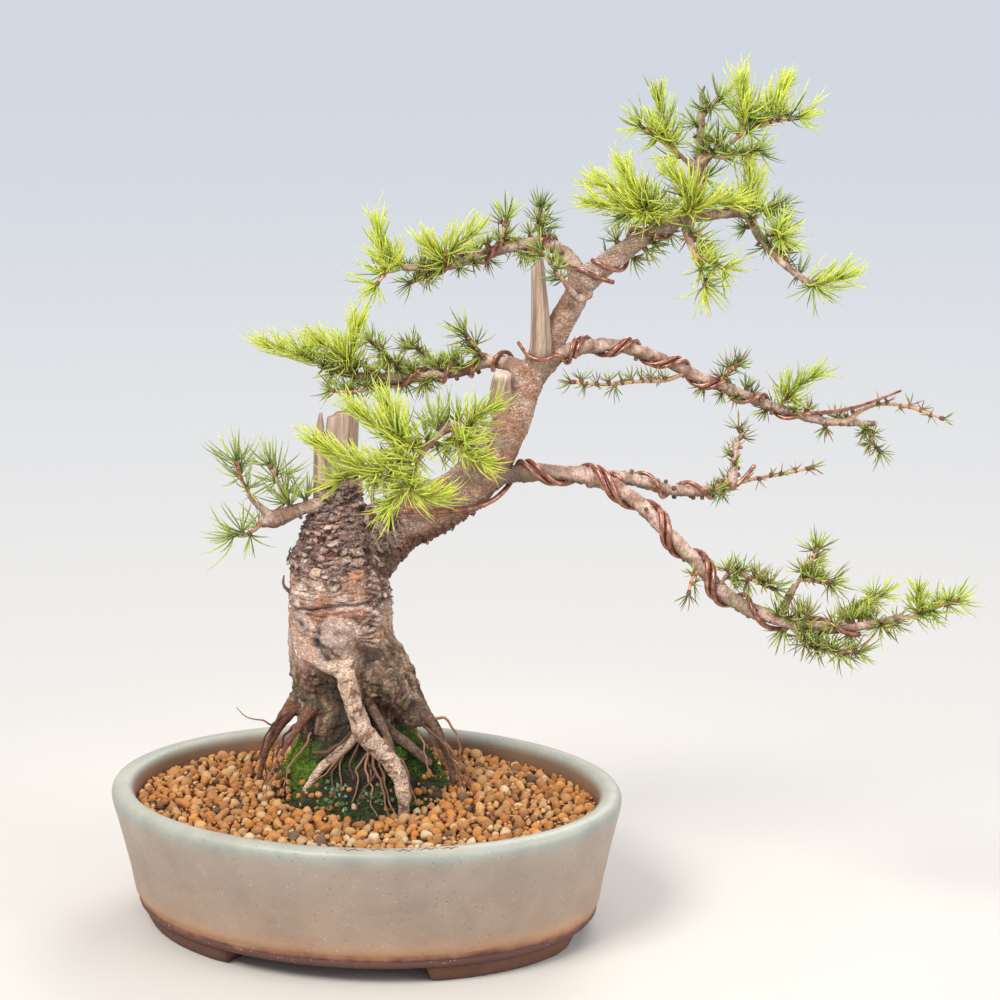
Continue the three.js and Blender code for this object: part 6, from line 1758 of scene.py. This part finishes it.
def laid_grains():
    """Grains laid from large to small, each where it finds room: x, y, radius and lift."""
    taken, grains = {}, []
    for smallest, largest, tries, closeness in GRAIN_SIZES:
        for _ in range(tries):
            x, y = rng.uniform(-140, 140), rng.uniform(-105, 105)
            r = rng.uniform(smallest, largest)
            if not inside_pot(x, y, r):
                continue
            away = math.hypot((x - MOUND_CENTRE[0]) / MOUND_RADII[0], (y - MOUND_CENTRE[1]) / MOUND_RADII[1])
            if away < 0.98 and (r > 3 or away < rng.uniform(0.8, 0.94)):
                continue
            lift = rng.uniform(-0.8, 0.9) + (0.8 if r < 1.6 else 0)
            lift += float(mound_height(np.array(min(away, 1.0)))) / 0.8
            cell = int(x // GRAIN_CELL), int(y // GRAIN_CELL)
            if has_room(taken, cell, x, y, r, closeness):
                taken.setdefault(cell, []).append((x, y, r))
                grains.append((x, y, r, lift))
    return grains


def granules():
    shapes, tris = grain_shapes()
    clay, pale = Soup(), Soup()
    for x, y, r, lift in laid_grains():
        shape = turned(shapes[rng.integers(len(shapes))]) * r
        swell = SWELL * noise.noise(Vector((x / SWELL_BREADTH, y / SWELL_BREADTH, SWELL_AT)))
        middle = np.array([x, y, SOIL_LEVEL + 0.6 + lift * 0.8 + swell])
        creamy = 0.05 + 0.2 * max(0.0, min(1.0, (-y - 20) / 50)) * (1 if x > -60 else 0.4)
        draw = rng.uniform()
        mottle = 1 + 0.22 * noise_at(shape, 2.2, x)[:, None] + 0.1 * noise_at(shape, 0.9, y)[:, None]
        tones = PALE if draw < creamy else DARK if draw < creamy + DARK_SHARE else CLAY
        colour = tones[rng.integers(len(tones))] * rng.uniform(0.85, 1.12)
        (pale if tones is PALE else clay).add(shape + middle, tris, None, colour * mottle)
    return clay.arrays(), pale.arrays()


def granule_bed():
    """The bed under the loose grains, with a wall down to the pot's floor."""
    shares = np.linspace(1.0, 0.0, BED_RINGS + 1)[:-1]
    bed = np.vstack([oval_ring(BED_INSET, BED_LEVEL) * np.array([share, share, 1]) for share in shares])
    swell_at = bed * np.array([1, 1, 0]) + np.array([0, 0, SWELL_BREADTH * SWELL_AT])
    bed[:, 2] += 1.2 * noise_at(bed, 3.5) + SWELL * noise_at(swell_at, SWELL_BREADTH)
    wall = [oval_ring(25.5, 19.6), oval_ring(19.6, 34), oval_ring(BED_INSET, 64)]
    # The bed is darker than the grains: painted shade showing in the gaps between them
    tint = np.tile(srgb(112, 68, 38), (len(bed) + 3 * POT_SIDES + 2, 1))
    return capped(np.vstack([*wall, bed]), POT_SIDES, [0, 0, 19.6], [0, 0, BED_LEVEL], tint)


clay, pale = granules()
piece("granules_clay", clay, clay_shader.material, ["granular_soil"])
pale_shader = grainy("pale_stone", 0.85, 0.9, 0.78, 1.1, 0.35)
piece("granules_pale", pale, pale_shader.material, ["granular_soil"])
piece("granule_bed", granule_bed(), soil_shader.material, ["granular_soil"])

# The drainage screens keep their solids
screen_shader = grainy("screen_plastic", 0.55, 2.0, 0.85, 1.1, 0.05)
screen_shader.colour(screen_shader.ramp(screen_shader.noise(2.0), [
    (0.3, srgb(24, 25, 27)), (0.7, srgb(44, 46, 49))]))
for name in ("drain_screen_left", "drain_screen_right"):
    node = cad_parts[name]
    node.data.materials.clear()
    node.data.materials.append(screen_shader.material)

# Studio: a pale floor that fades out, a plain backdrop, soft lights and the camera
FLOOR_REACH = 1.2
FADE_FROM, FADE_TO = 0.26, 0.62
SKY_LOW, SKY_HIGH = srgb(249, 245, 239), srgb(210, 216, 226)
SKY_FROM, SKY_TO = -0.4, 0.05
LIT = (0, 0, 0.25)


def studio_floor():
    mesh = bpy.data.meshes.new("floor")
    corners = [(sx * FLOOR_REACH + ORIGIN[0], sy * FLOOR_REACH + ORIGIN[1], 0)
               for sx, sy in ((-1, -1), (1, -1), (1, 1), (-1, 1))]
    mesh.from_pydata(corners, [], [(0, 1, 2, 3)])
    floor = bpy.data.objects.new("floor", mesh)
    bpy.context.scene.collection.objects.link(floor)
    shader = Shader("pale_floor", 0.9)
    shader.colour(shader.ramp(shader.noise(300, 2), [(0.3, srgb(202, 195, 186)), (0.7, srgb(206, 199, 190))]))
    far = shader.node("ShaderNodeVectorMath", operation="DISTANCE")
    shader.link(shader.coords, far.inputs[0])
    far.inputs[1].default_value = (ORIGIN[0], ORIGIN[1], 0)
    fade = shader.node("ShaderNodeMapRange", interpolation_type="SMOOTHSTEP")
    for key, value in (("From Min", FADE_FROM), ("From Max", FADE_TO), ("To Min", 1.0), ("To Max", 0.0)):
        fade.inputs[key].default_value = value
    shader.link(far.outputs["Value"], fade.inputs["Value"])
    shader.link(fade.outputs["Result"], shader.bsdf.inputs["Alpha"])
    mesh.materials.append(shader.material)
    return floor


def backdrop():
    """Two plain tones: warm white by the floor, pale cool grey above."""
    world = bpy.data.worlds.new("studio")
    bpy.context.scene.world = world
    world.use_nodes = True
    tree = world.node_tree
    background = tree.nodes["Background"]
    coords = tree.nodes.new("ShaderNodeTexCoord")
    split = tree.nodes.new("ShaderNodeSeparateXYZ")
    span = tree.nodes.new("ShaderNodeMapRange")
    span.inputs["From Min"].default_value = SKY_FROM
    span.inputs["From Max"].default_value = SKY_TO
    ramp = tree.nodes.new("ShaderNodeValToRGB")
    ramp.color_ramp.interpolation = "EASE"
    for element, colour in zip(ramp.color_ramp.elements, (SKY_LOW, SKY_HIGH)):
        element.color = (*colour, 1)
    tree.links.new(coords.outputs["Generated"], split.inputs[0])
    tree.links.new(split.outputs["Z"], span.inputs["Value"])
    tree.links.new(span.outputs["Result"], ramp.inputs["Fac"])
    tree.links.new(ramp.outputs["Color"], background.inputs["Color"])
    background.inputs["Strength"].default_value = 1.0


def area_light(name, location, size, power, colour=(1, 1, 1)):
    data = bpy.data.lights.new(name, "AREA")
    data.shape = "DISK"
    data.size = size
    data.energy = power
    data.color = colour
    obj = bpy.data.objects.new(name, data)
    obj.location = location
    obj.rotation_euler = (Vector(LIT) - Vector(location)).to_track_quat("-Z", "Y").to_euler()
    bpy.context.scene.collection.objects.link(obj)


def photo_camera():
    """The camera that was fitted to the photo: level sideways, and 0.197 radians down."""
    data = bpy.data.cameras.new("camera")
    data.sensor_width = 36
    data.lens = 70.96
    camera = bpy.data.objects.new("camera", data)
    camera.location = place([78.5, -1092, 467])
    camera.rotation_euler = (math.pi / 2 - 0.197, 0, 0)
    bpy.context.scene.collection.objects.link(camera)
    bpy.context.scene.camera = camera


floor = studio_floor()
floor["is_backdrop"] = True
backdrop()
area_light("key", (-0.9, -1.1, 1.7), 0.9, 41, (1.0, 0.98, 0.95))
area_light("fill", (1.5, -0.8, 1.0), 1.2, 18, (0.95, 0.98, 1.0))
area_light("back", (0.5, 1.4, 1.5), 1.2, 18)
photo_camera()
bpy.context.scene.view_settings.view_transform = "Standard"

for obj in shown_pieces():
    obj.data.calc_loop_triangles()
    print(obj.name, len(obj.data.loop_triangles), "triangles")
